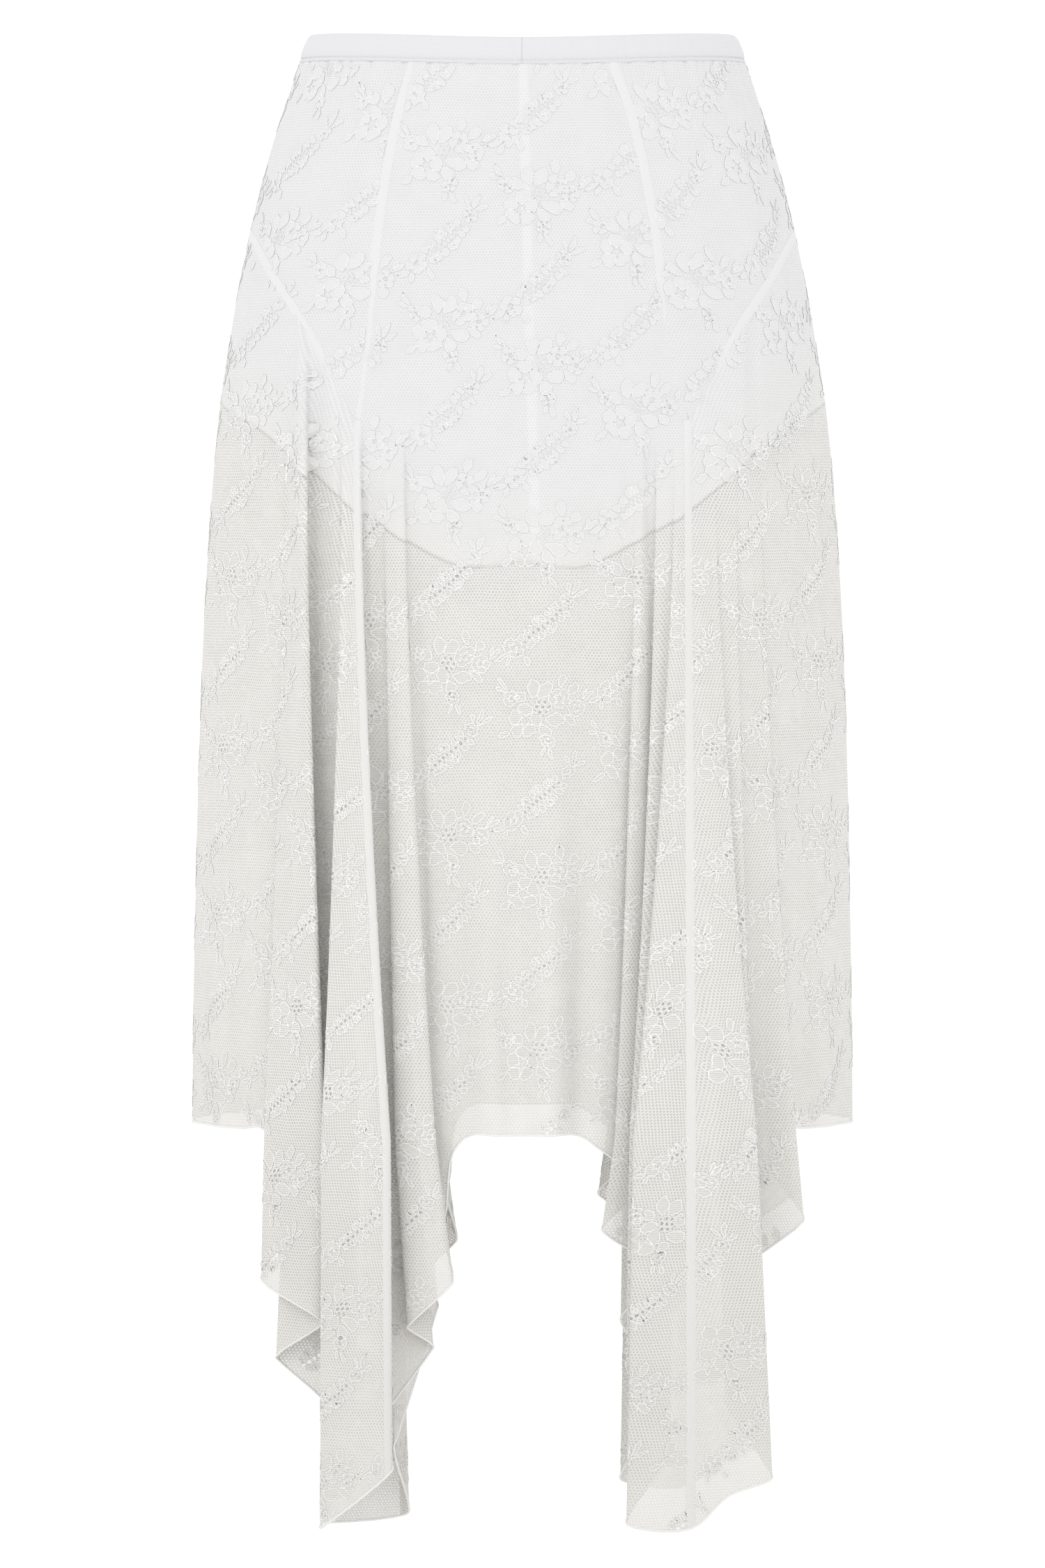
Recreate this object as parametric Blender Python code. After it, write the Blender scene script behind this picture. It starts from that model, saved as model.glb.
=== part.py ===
# Handkerchief hem skirt in lace, worn and hollow, over short opaque knickers.
# The origin is the middle of the waist opening. The skirt hangs down from it along -Z, with its front at -Y.
# Each piece is a thin wall made from one grid of points: a row runs round the body, a column runs down the
# cloth. Below the seam points the long seams open into folds that hang as four handkerchief corners.
# All sizes are in millimetres until a piece is built, and heights are drops below the waist.

import math

import bmesh
import bpy

MM = 0.001

# Cloth and seams
LACE_WALL = 1.4
LINING_WALL = 1.0
SEAM_GAP = 0.3
LAYER_GAP = 2.0

# Waistband
BAND_DEPTH = 17.5
BAND_WALL = 3.0
BAND_DIP = 5.5
BAND_COLUMNS = 56
BAND_SECTION = [
    # out from the middle of the wall in wall thicknesses, share of the depth
    (-0.5, 0.04),
    (-0.5, 0.96),
    (-0.1, 1.0),
    (0.35, 0.99),
    (0.6, 0.75),
    (0.62, 0.3),
    (0.35, 0.02),
    (-0.1, 0.0),
]

# Heights
POINT_DROP = 248.0
FOLD_LEVEL = 700.0
SHORT_HEM = 699.0

# How the folds open below the seam points, and how softly they turn
OPENING_POWER = 1.5
STANDING_POWER = 0.7
FOLD_RADIUS = 2.0
SHARP_TURN = 120.0
# The two columns of a softened fold stand apart by these shares of the way to their neighbours
START_APART = 0.3
HEM_APART = 0.06

# How far a wall reaches out at a sharp turn, so that it keeps its thickness
MOST_REACH = 1.3
LEAST_TURN = 0.2

# Rows of each stretch of cloth
UPPER_ROWS = 6
LOWER_ROWS = 12
ROW_POWER = 1.3
LINING_ROWS = 10

# Steps that close in on the height of the yoke's edge over a place
HEIGHT_STEPS = 12

# Half width and half depth of the body of the skirt at each height
FIGURE = [
    # drop, half width, half depth
    (-10, 130, 97),
    (0, 136, 101),
    (17, 143, 105),
    (31, 148, 108),
    (67, 160, 114),
    (103, 170, 119),
    (157, 182, 126),
    (211, 191, 131),
    (247, 196, 134),
    (319, 202, 138),
    (427, 207, 142),
    (607, 211, 147),
    (700, 212, 149),
    (960, 213, 152),
]

# The two long seams above the seam points: distance from the middle at each height
LONG_SEAMS = [
    # drop, left, right
    (0, 66, 55),
    (20, 70, 58),
    (51, 79, 69),
    (113, 90, 82),
    (202, 99, 94),
    (248, 105, 105),
]

# Lower edge of the hip yoke, from the seam point to the middle of the side
YOKE_EDGE = [
    # share of the way, drop
    (0.0, 248),
    (0.25, 191),
    (0.5, 156),
    (0.75, 134),
    (1.0, 127),
]

# Folds of the left front corner, from the side to the middle. Each column of cloth starts at the seam point's
# level, is measured at FOLD_LEVEL and ends at the hem. Out is its distance in front of the middle of the body.
LEFT_CORNER = [
    # name, start x, level x, hem x, out, hem drop
    ("side_run", -160, -164, -165, 97, 699),
    ("hidden_turn", -153, -141, -139, 114, 742),
    ("outer_edge", -147.5, -163, -165, 123, 791),
    ("outer_end", -141, -125, -127, 156, 815),
    ("tuck_edge", -131, -149, -155, 127, 842),
    ("tuck_return", -124, -117, -121, 135, 873),
    ("tuck_turn", -118, -103, -106, 149, 902),
    ("tip_edge", -111.5, -126, -127, 168, 947),
    ("seam", -105, -84, -83, 180, 908),
    ("inner_turn", -98.5, -92, -89, 152, 879),
    ("inner_edge", -92, -67, -57, 152, 832),
    ("inner_return", -85, -80, -72, 161, 819),
    ("centre_edge", -78, -56, -45, 165, 792),
    ("centre_turn", -71, -60, -50, 147, 752),
    ("centre_run", -63, -49, -44, 147, 710),
]

# Folds of the right front corner, from the middle to the side
RIGHT_CORNER = [
    # name, start x, level x, hem x, out, hem drop
    ("centre_run", 60, 51, 49, 146, 708),
    ("centre_turn", 67, 77, 76, 145, 730),
    ("centre_edge", 74, 59, 51, 152, 758),
    ("inner_turn", 81, 103, 104, 147, 795),
    ("tuck_edge", 87, 68, 66, 160, 843),
    ("tuck_turn", 93, 93, 93, 167, 893),
    ("tip_edge", 99, 70, 66, 178, 942),
    ("seam", 105, 106, 106, 173, 945),
    ("front_wave", 111, 127, 130, 166, 925),
    ("outer_edge", 118, 147, 157, 154, 915),
    ("outer_turn", 125, 124, 128, 146, 866),
    ("second_edge", 132, 145, 151, 138, 821),
    ("second_turn", 139, 131, 137, 129, 789),
    ("side_edge", 146, 173, 178, 114, 754),
    ("side_turn", 153, 155, 159, 107, 724),
    ("side_run", 160, 166, 167, 97, 699),
]

# The back corners are the front ones turned over to the back, with these columns ending elsewhere
BACK_LEFT_ENDS = {
    # name: (hem x, hem drop)
    "tuck_turn": (-112, 930),
    "tip_edge": (-133, 979),
    "seam": (-77, 975),
    "inner_turn": (-84, 925),
}
BACK_RIGHT_ENDS = {
    "tip_edge": (66, 952),
    "seam": (106, 956),
    "front_wave": (130, 940),
}

# Slow waves of the plain stretch between two corners
CENTRE_WAVES = [
    # level x, how far it stands out
    (-33, -1),
    (-16, 3),
    (0, -1),
    (17, 4),
    (35, -1),
]
CENTRE_SPREAD = 1.3

# Angles of the columns round the side, where 0 is the front and 90 the side
SIDE_ANGLES = [
    # under the yoke, at the hem
    (66, 58),
    (72, 66),
    (78, 74),
    (84, 82),
    (90, 90),
    (96, 98),
    (102, 106),
    (108, 114),
    (114, 122),
]
SIDE_WAVE = 2.5

# Lower edge of the lining, from the middle of the front round the side to the middle of the back, and how far
# each column turns in under the body
LINING_EDGE = [
    # angle, drop, turning in
    (0, 334, 1.0),
    (5, 338, 0.62),
    (10, 339, 0.30),
    (16, 339, 0.10),
    (25, 329, 0.0),
    (36, 311, 0.0),
    (47, 290, 0.0),
    (58, 268, 0.0),
    (73, 246, 0.0),
    (90, 233, 0.0),
    (107, 246, 0.0),
    (122, 268, 0.0),
    (135, 292, 0.0),
    (147, 315, 0.0),
    (157, 331, 0.0),
    (165, 340, 0.10),
    (170, 341, 0.30),
    (175, 339, 0.62),
    (180, 334, 1.0),
]
CROTCH_START = 212.0
CROTCH_DROP = 334.0
CROTCH_HALF_GAP = 0.8

# Finish of the cloth
LACE_COLOUR = (0.86, 0.85, 0.82, 1.0)
LINING_COLOUR = (0.90, 0.90, 0.91, 1.0)
BAND_COLOUR = (0.90, 0.90, 0.92, 1.0)
CLOTH_ROUGHNESS = 0.85
SMOOTH_UP_TO = 50.0


def curve(table, where, column=1):
    """Reads a column of a table between its rows, on a smooth curve through them."""
    keys = [row[0] for row in table]
    values = [row[column] for row in table]
    if where <= keys[0]:
        return values[0]
    if where >= keys[-1]:
        return values[-1]
    i = max(k for k in range(len(keys) - 1) if keys[k] <= where)

    def slope(k):
        low, high = max(k - 1, 0), min(k + 1, len(keys) - 1)
        return (values[high] - values[low]) / (keys[high] - keys[low])

    span = keys[i + 1] - keys[i]
    t = (where - keys[i]) / span
    rise = values[i + 1] - values[i]
    leave = slope(i) * span - rise
    arrive = rise - slope(i + 1) * span
    return values[i] + t * rise + t * (1 - t) * ((1 - t) * leave + t * arrive)


def half_width(drop):
    return curve(FIGURE, drop, 1)


def half_depth(drop):
    return curve(FIGURE, drop, 2)


def depth_at(x, drop):
    """How far in front of the middle the body lies at a place along X."""
    share = min(0.999, abs(x) / half_width(drop))
    return half_depth(drop) * math.sqrt(1 - share * share)


def angle_of(x, drop):
    """The angle at which the front of the body has a place along X."""
    return math.degrees(math.asin(max(-1.0, min(1.0, x / half_width(drop)))))


def seam_angle(drop, side):
    """The angle of a long seam at a height: side is -1 on the left and 1 on the right."""
    return angle_of(curve(LONG_SEAMS, drop, 1 if side < 0 else 2), drop)


def yoke_drop(angle):
    """Height of the yoke's lower edge at an angle, the same on the front and the back."""
    from_front = 90.0 - abs(90.0 - abs(angle))
    start = seam_angle(POINT_DROP, 1)
    share = max(0.0, min(1.0, (from_front - start) / (90.0 - start)))
    return curve(YOKE_EDGE, share)


def yoke_drop_over(x):
    """Height of the yoke's lower edge over a place along X on the front."""
    drop = POINT_DROP
    for _ in range(HEIGHT_STEPS):
        drop = (drop + yoke_drop(angle_of(x, drop))) / 2
    return drop


def waist_dip(x, y, drop):
    """The waist lies a little lower in the middle of the front, and the dip fades towards the hips."""
    reach = math.hypot(x, y) or 1.0
    forward = max(0.0, -y / reach)
    return BAND_DIP * forward ** 2 * max(0.0, 1.0 - drop / POINT_DROP)


class Column:
    """One line of cloth from its upper end to the hem. sign is 1 on the front and -1 on the back."""

    def __init__(self, start, level, foot, hem, sign, is_seam=False):
        self.start = start
        self.level = level
        self.foot = foot
        self.hem = hem
        self.sign = sign
        self.is_seam = is_seam

    def at(self, share):
        """The point at a share of the way from the upper end to the hem."""
        start_x, start_drop = self.start
        level_x, level_out = self.level
        drop = start_drop + (self.hem - start_drop) * share
        s = (drop - start_drop) / (FOLD_LEVEL - start_drop)
        if s <= 1.0:
            x = start_x + (level_x - start_x) * s ** OPENING_POWER
            folded = level_out + depth_at(level_x, drop) - depth_at(level_x, FOLD_LEVEL)
            opened = s ** STANDING_POWER
            out = depth_at(x, drop) * (1 - opened) + folded * opened
        else:
            past = (drop - FOLD_LEVEL) / (self.hem - FOLD_LEVEL)
            x = level_x + (self.foot - level_x) * past
            out = level_out
        return x, -out * self.sign, drop


class SideColumn:
    """A column of the plain stretch round the side, which hangs on the body with a slight wave."""

    is_seam = False

    def __init__(self, angle, hem_angle, side, wave):
        self.angle = angle
        self.hem_angle = hem_angle
        self.side = side
        self.wave = wave
        self.start_drop = yoke_drop(angle)

    def at(self, share):
        drop = self.start_drop + (SHORT_HEM - self.start_drop) * share
        a = math.radians(self.angle + (self.hem_angle - self.angle) * share)
        out = 1.0 + self.wave * share / half_width(drop)
        x = half_width(drop) * math.sin(a) * out * self.side
        y = -half_depth(drop) * math.cos(a) * out
        return x, y, drop


def corner(table, sign, ends=None):
    """The columns of one corner, in the table's order."""
    columns = []
    for name, start_x, level_x, hem_x, out, hem in table:
        foot, hem = (ends or {}).get(name, (hem_x, hem))
        seam_x = abs(next(row[1] for row in table if row[0] == "seam"))
        drop = POINT_DROP
        if abs(start_x) > seam_x:
            drop = yoke_drop_over(start_x)
        columns.append(Column((start_x, drop), (level_x, out), foot, hem, sign, name == "seam"))
    return columns


def softened(columns):
    """Turns each sharp fold into two columns that stand apart across the fold, so the cloth bends round it."""
    result = []
    for k, column in enumerate(columns):
        if k in (0, len(columns) - 1):
            result.append(column)
            continue
        before, after = columns[k - 1], columns[k + 1]
        x, out = column.level
        ways = []
        for other in (before, after):
            dx, dy = other.level[0] - x, other.level[1] - out
            size = math.hypot(dx, dy)
            ways.append((dx / size, dy / size))
        cosine = ways[0][0] * ways[1][0] + ways[0][1] * ways[1][1]
        if math.degrees(math.acos(max(-1.0, min(1.0, cosine)))) > SHARP_TURN:
            result.append(column)
            continue
        middle = (ways[0][0] + ways[1][0], ways[0][1] + ways[1][1])
        length = math.hypot(*middle)
        across = (-middle[1] / length, middle[0] / length)
        for step, (other, way) in enumerate(zip((before, after), ways)):
            towards = 1.0 if way[0] * across[0] + way[1] * across[1] > 0 else -1.0
            shift_x, shift_out = across[0] * towards * FOLD_RADIUS, across[1] * towards * FOLD_RADIUS
            start_x = column.start[0] + (other.start[0] - column.start[0]) * START_APART
            start_drop = column.start[1] + (other.start[1] - column.start[1]) * START_APART
            if column.is_seam and step == 0:
                start_x, start_drop = column.start
            hem = column.hem + (other.hem - column.hem) * HEM_APART
            result.append(Column((start_x, start_drop), (x + shift_x, out + shift_out), column.foot + shift_x,
                                 hem, column.sign, column.is_seam and step == 0))
    return result


def centre_run(sign):
    """The columns between the two corners of the front or the back, from left to right."""
    columns = []
    for x, wave in CENTRE_WAVES:
        columns.append(Column((x * CENTRE_SPREAD, POINT_DROP), (x, depth_at(x, FOLD_LEVEL) + wave), x,
                              SHORT_HEM, sign))
    return columns


def side_run(side, turned):
    """The columns round one side, from front to back, or from back to front if turned."""
    columns = []
    for k, (angle, hem_angle) in enumerate(SIDE_ANGLES):
        columns.append(SideColumn(angle, hem_angle, side, SIDE_WAVE * (k % 2)))
    return columns[::-1] if turned else columns


def skirt_columns():
    """All columns round the skirt: across the front to the right, round the side, back, and the left side."""
    front_left = softened(corner(LEFT_CORNER, 1))
    front_right = softened(corner(RIGHT_CORNER, 1))
    back_left = softened(corner(LEFT_CORNER, -1, BACK_LEFT_ENDS))
    back_right = softened(corner(RIGHT_CORNER, -1, BACK_RIGHT_ENDS))
    columns = centre_run(1) + front_right + side_run(1, False) + back_right[::-1]
    columns += centre_run(-1)[::-1] + back_left[::-1] + side_run(-1, True) + front_left
    return columns


def outward_normals(row):
    """Level directions square to a closed row of points, pointing out of the skirt, long at sharp turns."""
    count = len(row)
    normals = []
    for k, point in enumerate(row):
        sums = [0.0, 0.0]
        ways = []
        for a, b in ((row[k - 1], point), (point, row[(k + 1) % count])):
            dx, dy = b[0] - a[0], b[1] - a[1]
            size = math.hypot(dx, dy) or 1.0
            ways.append((dy / size, -dx / size))
            sums[0] += dy / size
            sums[1] -= dx / size
        size = math.hypot(*sums) or 1.0
        normal = (sums[0] / size, sums[1] / size)
        stretch = min(MOST_REACH, 1.0 / max(LEAST_TURN, normal[0] * ways[0][0] + normal[1] * ways[0][1]))
        normals.append((normal[0] * stretch, normal[1] * stretch))
    return normals


def body_normal(x, y, drop):
    """The level direction that points straight out of the body at a point of it."""
    nx, ny = x / half_width(drop) ** 2, y / half_depth(drop) ** 2
    size = math.hypot(nx, ny)
    return nx / size, ny / size


def shifted(point, towards, distance):
    """A point moved level towards another by a distance."""
    dx, dy = towards[0] - point[0], towards[1] - point[1]
    size = math.hypot(dx, dy)
    return point[0] + dx / size * distance, point[1] + dy / size * distance, point[2]


def trim_sides(grid):
    """Draws the two side edges of a grid in by half a seam gap."""
    for row in grid:
        row[0] = shifted(row[0], row[1], SEAM_GAP / 2)
        row[-1] = shifted(row[-1], row[-2], SEAM_GAP / 2)


def lower_grid(columns):
    """The rows of points of the whole skirt below the seam points, and their outward directions."""
    grid, normals = [], []
    for r in range(LOWER_ROWS + 1):
        share = (r / LOWER_ROWS) ** ROW_POWER
        row = [column.at(share) for column in columns]
        grid.append(row)
        normals.append(outward_normals(row))
    return grid, normals


def pick(rows, indices):
    """The same places of every row."""
    return [[row[i] for i in indices] for row in rows]


def upper_centre(lower_row, sign):
    """Rows of a centre panel from the waistband down to the seam points, each over the columns below it."""
    reach = {side: abs(lower_row[0 if side * sign < 0 else -1][0]) for side in (-1, 1)}
    rows, normals = [], []
    for r in range(UPPER_ROWS):
        drop = BAND_DEPTH + SEAM_GAP + (POINT_DROP - BAND_DEPTH - SEAM_GAP) * r / UPPER_ROWS
        row = []
        for x, y, _ in lower_row:
            side = -1 if x < 0 else 1
            x = x / reach[side] * curve(LONG_SEAMS, drop, 1 if side < 0 else 2)
            row.append((x, -depth_at(x, drop) * sign, drop))
        rows.append(row)
        normals.append([body_normal(*point) for point in row])
    return rows, normals


def yoke_rows(top_row, side):
    """Rows of a hip yoke, from the waistband down to the upper edge of the side panel."""
    columns = []
    for x, y, low in top_row:
        body_angle = math.degrees(math.atan2(abs(x) / half_width(low), -y / half_depth(low)))
        start = seam_angle(low, side)
        share = (body_angle - start) / (180.0 - 2.0 * start)
        column = []
        for r in range(UPPER_ROWS + 1):
            top = BAND_DEPTH + SEAM_GAP
            drop = top + (low - SEAM_GAP - top) * r / UPPER_ROWS
            start = seam_angle(drop, side)
            a = math.radians(start + share * (180.0 - 2.0 * start))
            column.append((half_width(drop) * math.sin(a) * side, -half_depth(drop) * math.cos(a), drop))
        columns.append(column)
    rows = [[column[r] for column in columns] for r in range(UPPER_ROWS + 1)]
    return rows, [[body_normal(*point) for point in row] for row in rows]


def metres(x, y, drop):
    """A place of the skirt in metres, with the dip of the waist."""
    return x * MM, y * MM, -(drop + waist_dip(x, y, drop)) * MM


def material(name, colour):
    made = bpy.data.materials.new(name)
    made.use_nodes = True
    shader = made.node_tree.nodes["Principled BSDF"]
    shader.inputs["Base Color"].default_value = colour
    shader.inputs["Roughness"].default_value = CLOTH_ROUGHNESS
    shader.inputs["Metallic"].default_value = 0.0
    made.diffuse_color = colour
    return made


def add_object(name, points, faces, colour):
    """Makes a mesh object from points in metres, with its faces turned outward."""
    mesh = bpy.data.meshes.new(name)
    mesh.from_pydata(points, [], faces)
    shape = bmesh.new()
    shape.from_mesh(mesh)
    bmesh.ops.recalc_face_normals(shape, faces=shape.faces)
    if shape.calc_volume(signed=True) < 0:
        bmesh.ops.reverse_faces(shape, faces=shape.faces)
    shape.to_mesh(mesh)
    shape.free()
    mesh.shade_smooth()
    mesh.set_sharp_from_angle(angle=math.radians(SMOOTH_UP_TO))
    made = bpy.data.objects.new(name, mesh)
    mesh.materials.append(material(name + "_cloth", colour))
    bpy.context.scene.collection.objects.link(made)
    return made


def split_quad(a, b, c, d):
    return [(a, b, c), (a, c, d)]


def wall_object(name, grid, normals, wall, colour, closed=False):
    """A wall of even thickness on both sides of a grid of points. A closed grid joins up round the body."""
    rows, count = len(grid), len(grid[0])
    points = []
    for side in (0.5, -0.5):
        for row, directions in zip(grid, normals):
            for point, way in zip(row, directions):
                up = way[2] if len(way) > 2 else 0.0
                x = point[0] + way[0] * wall * side
                y = point[1] + way[1] * wall * side
                points.append(metres(x, y, point[2] - up * wall * side))
    layer = rows * count
    faces = []
    last = count if closed else count - 1
    for r in range(rows - 1):
        for c in range(last):
            a, b = r * count + c, r * count + (c + 1) % count
            d, e = a + count, b + count
            faces += split_quad(a, d, e, b)
            faces += [tuple(layer + i for i in face[::-1]) for face in split_quad(a, d, e, b)]
    for c in range(last):
        d = (c + 1) % count
        faces += split_quad(c, d, layer + d, layer + c)
        low = (rows - 1) * count
        faces += split_quad(low + d, low + c, layer + low + c, layer + low + d)
    if not closed:
        for r in range(rows - 1):
            a, b = r * count, (r + 1) * count
            faces += split_quad(b, a, layer + a, layer + b)
            a, b = a + count - 1, b + count - 1
            faces += split_quad(a, b, layer + b, layer + a)
    return add_object(name, points, faces, colour)


def make_waistband():
    """The elastic casing: a ring with a soft, slightly full section."""
    points, faces = [], []
    for k in range(BAND_COLUMNS):
        a = 2 * math.pi * k / BAND_COLUMNS
        for out, share in BAND_SECTION:
            drop = BAND_DEPTH * share
            x, y = half_width(drop) * math.sin(a), -half_depth(drop) * math.cos(a)
            nx, ny = body_normal(x, y, drop)
            points.append(metres(x + nx * out * BAND_WALL, y + ny * out * BAND_WALL, drop))
    size = len(BAND_SECTION)
    for k in range(BAND_COLUMNS):
        for p in range(size):
            a, b = k * size + p, k * size + (p + 1) % size
            c = (k + 1) % BAND_COLUMNS * size
            faces += split_quad(a, b, c + (p + 1) % size, c + p)
    add_object("waistband", points, faces, BAND_COLOUR)


def grid_normals(grid):
    """Directions square to an open grid of points, pointing away from the body's middle line."""
    rows, count = len(grid), len(grid[0])
    result = []
    for r in range(rows):
        line = []
        for c in range(count):
            left, right = grid[r][max(c - 1, 0)], grid[r][min(c + 1, count - 1)]
            above, below = grid[max(r - 1, 0)][c], grid[min(r + 1, rows - 1)][c]
            u = [b - a for a, b in zip(left, right)]
            v = [b - a for a, b in zip(above, below)]
            u[2], v[2] = -u[2], -v[2]
            n = (u[1] * v[2] - u[2] * v[1], u[2] * v[0] - u[0] * v[2], u[0] * v[1] - u[1] * v[0])
            size = math.sqrt(sum(i * i for i in n))
            line.append(tuple(-i / size for i in n))
        result.append(line)
    return result


def make_lining(name, side):
    """One half of the knickers: from the waist to the leg edge, turning in under the body at the middle."""
    inset = (LACE_WALL + LINING_WALL) / 2 + LAYER_GAP
    top = BAND_DEPTH + SEAM_GAP
    grid = []
    for r in range(LINING_ROWS + 1):
        row = []
        for angle, low, turning in LINING_EDGE:
            drop = top + (low - top) * r / LINING_ROWS
            a = math.radians(angle)
            under = max(0.0, min(1.0, (drop - CROTCH_START) / (CROTCH_DROP - CROTCH_START)))
            pull = turning * (1 - math.sqrt(1 - under * under))
            x = (half_width(drop) - inset) * math.sin(a) + SEAM_GAP / 2
            y = -(half_depth(drop) - inset) * math.cos(a) * (1 - pull)
            if abs(y) < CROTCH_HALF_GAP:
                y = -CROTCH_HALF_GAP if angle < 90 else CROTCH_HALF_GAP
            row.append((x, y, drop))
        grid.append(row)
    normals = grid_normals(grid)
    for row in normals:
        for edge in (0, -1):
            size = math.hypot(row[edge][1], row[edge][2])
            row[edge] = (0.0, row[edge][1] / size, row[edge][2] / size)
    if side < 0:
        grid = [[(-x, y, drop) for x, y, drop in row] for row in grid]
        normals = [[(-x, y, z) for x, y, z in row] for row in normals]
    wall_object(name, grid, normals, LINING_WALL, LINING_COLOUR)


def make_skirt():
    """The lace: two centre panels, two side panels and two hip yokes."""
    columns = skirt_columns()
    seams = [i for i, column in enumerate(columns) if column.is_seam]
    grid, normals = lower_grid(columns)
    count = len(columns)
    front_right, back_right, back_left, front_left = seams
    spans = {
        "front_centre": [i % count for i in range(front_left, front_right + count + 1)],
        "side_panel_right": list(range(front_right, back_right + 1)),
        "back_centre": list(range(back_right, back_left + 1)),
        "side_panel_left": list(range(back_left, front_left + 1)),
    }
    for name, sign in (("front_centre", 1), ("back_centre", -1)):
        low, low_normals = pick(grid, spans[name]), pick(normals, spans[name])
        high, high_normals = upper_centre(low[0], sign)
        rows = high + low
        trim_sides(rows)
        wall_object(name, rows, high_normals + low_normals, LACE_WALL, LACE_COLOUR)
    for name, side in (("right", 1), ("left", -1)):
        low, low_normals = pick(grid, spans["side_panel_" + name]), pick(normals, spans["side_panel_" + name])
        rows, yoke_normals = yoke_rows(low[0], side)
        trim_sides(rows)
        wall_object("side_yoke_" + name, rows, yoke_normals, LACE_WALL, LACE_COLOUR)
        low[0] = [(x, y, drop + SEAM_GAP) for x, y, drop in low[0]]
        trim_sides(low)
        wall_object("side_panel_" + name, low, low_normals, LACE_WALL, LACE_COLOUR)


def clear_scene():
    for old in list(bpy.data.objects):
        bpy.data.objects.remove(old, do_unlink=True)


def build():
    clear_scene()
    make_waistband()
    make_skirt()
    make_lining("lining_left", -1)
    make_lining("lining_right", 1)


build()
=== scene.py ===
# Looks of the handkerchief hem skirt: lace over short white knickers, worn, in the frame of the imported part.
# Each CAD node is replaced by a thin shell on the same form, made from the same tables with finer steps.
# Lace is a net with openings in its material, partly filled as by fine hairs, and its sprays are threads and
# hatched patches laid on the net.
# Sizes are in millimetres until a mesh is built, and heights are drops below the waist.

import math

import bpy
import numpy as np
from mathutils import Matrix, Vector
from mathutils.bvhtree import BVHTree
from mathutils.geometry import barycentric_transform


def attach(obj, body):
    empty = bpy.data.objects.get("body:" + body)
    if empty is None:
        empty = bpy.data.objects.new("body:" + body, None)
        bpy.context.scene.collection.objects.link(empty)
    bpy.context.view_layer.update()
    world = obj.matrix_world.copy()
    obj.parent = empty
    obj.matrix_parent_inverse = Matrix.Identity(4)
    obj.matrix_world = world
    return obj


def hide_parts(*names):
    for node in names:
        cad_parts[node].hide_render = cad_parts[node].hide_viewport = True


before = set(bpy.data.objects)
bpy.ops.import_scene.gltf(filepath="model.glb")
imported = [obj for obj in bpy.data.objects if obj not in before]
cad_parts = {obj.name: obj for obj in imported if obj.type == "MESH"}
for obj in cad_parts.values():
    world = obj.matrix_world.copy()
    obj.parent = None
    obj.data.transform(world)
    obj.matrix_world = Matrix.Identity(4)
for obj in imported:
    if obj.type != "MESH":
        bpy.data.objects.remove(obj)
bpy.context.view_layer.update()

# Fineness of the shells
STEPS_ACROSS = 5
LOWER_ROWS = 64
UPPER_ROWS = 26
LINING_ROWS = 36
LINING_STEPS = 6
BAND_COLUMNS = 1080
LONG_SEAM_STEPS = 50
YOKE_SEAM_STEPS = 90
CENTRE_SEAM_STEPS = 60
PETAL_STEPS = 13
RING_STEPS = 8
HEM_SIDES = 7

# The net: its pitch, the radius of an opening in pitches, and how far its threads stray
NET_PITCH = 2.1
NET_OPENING = 0.34
NET_STRAY = 2.4

# The sprays: their repeat, their outlines, how far these bend and quiver, and the threads inside them
MOTIF_COLUMN = 60.0
MOTIF_ROW = 54.0
THREAD = 0.65
THREAD_LIFT = 0.3
BEND = 0.8
QUIVER = 0.35
FILL_LIFT = 0.2
FILL_PITCH = 1.25
FILL_OPEN = 0.24

# Larger openings: a slanting chain of them in one kind of spray, and a round patch in the other
CHAIN_WAY = 41.0
CHAIN_STEP = 3.6
CHAIN_HALF = 4
EYELET = 1.25
PATCH_PLACE = (0.5, 3.5)
PATCH_RADIUS = 5.6

# How much of an opening is filled, over the lining and below it: in the net, between the threads of a petal
# and in the larger openings
NET_HAZE = (0.9, 0.68)
FILL_HAZE = (0.93, 0.68)
EYELET_HAZE = (0.96, 0.5)

# Where the tints and the haze change, and where the painted shade of the corners' deep folds comes in, as
# distances below the lining's lower edge
TONE_CHANGE = (-45.0, 25.0)
HAZE_CHANGE = (-1.5, 2.0)
# Painted shade: low in the corners the cloth's colour is mixed a share of the way towards this darker tint,
# standing in for the shade of their deep folds
PAINTED_FOLD_SHADE_CHANGE = (340.0, 520.0)
PAINTED_FOLD_SHADE = (0.58, 0.56, 0.52)
PAINTED_FOLD_SHADE_SHARE = 0.25

# The gap that shows under the lining's lower edge, and how its centre seam shows through the lace
EDGE_LINE = 1.6
EDGE_GAP = 0.25
SEAM_SHOWS = 4.0
SEAM_WHITE = (0.768, 0.768, 0.772)

# The lining's centre seam: how far it turns to the side in radians at a height, where it ends, and its form
CENTRE_TURN = 0.036
CENTRE_TURN_DROP = 290.0
CENTRE_END = 285.0
CENTRE_HALF = 4.0
CENTRE_LIFT = 1.6
CENTRE_INSET = 0.5

# Seams, hems and the lining's folded edge
SEAM_HALF = 3.3
SEAM_LIFT = 0.35
SEAM_REACH = 14
SEAM_PROFILE = np.array([0.15, 0.85, 1.0, 0.85, 0.15])
HEM_RADIUS = 0.75
EDGE_BAND = 10.0
EDGE_PROFILE = [
    # up from the edge, out from the cloth
    (EDGE_BAND + 0.4, 0.05),
    (EDGE_BAND, 0.8),
    (EDGE_BAND * 0.6, 1.0),
    (EDGE_BAND * 0.25, 1.0),
    (0.4, 0.9),
    (-0.5, 0.3),
    (-0.3, -0.5),
    (EDGE_BAND * 0.5, -0.7),
]

# Gloss of the cloth
SPECULAR = 0.2
SHEEN = 0.15

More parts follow.
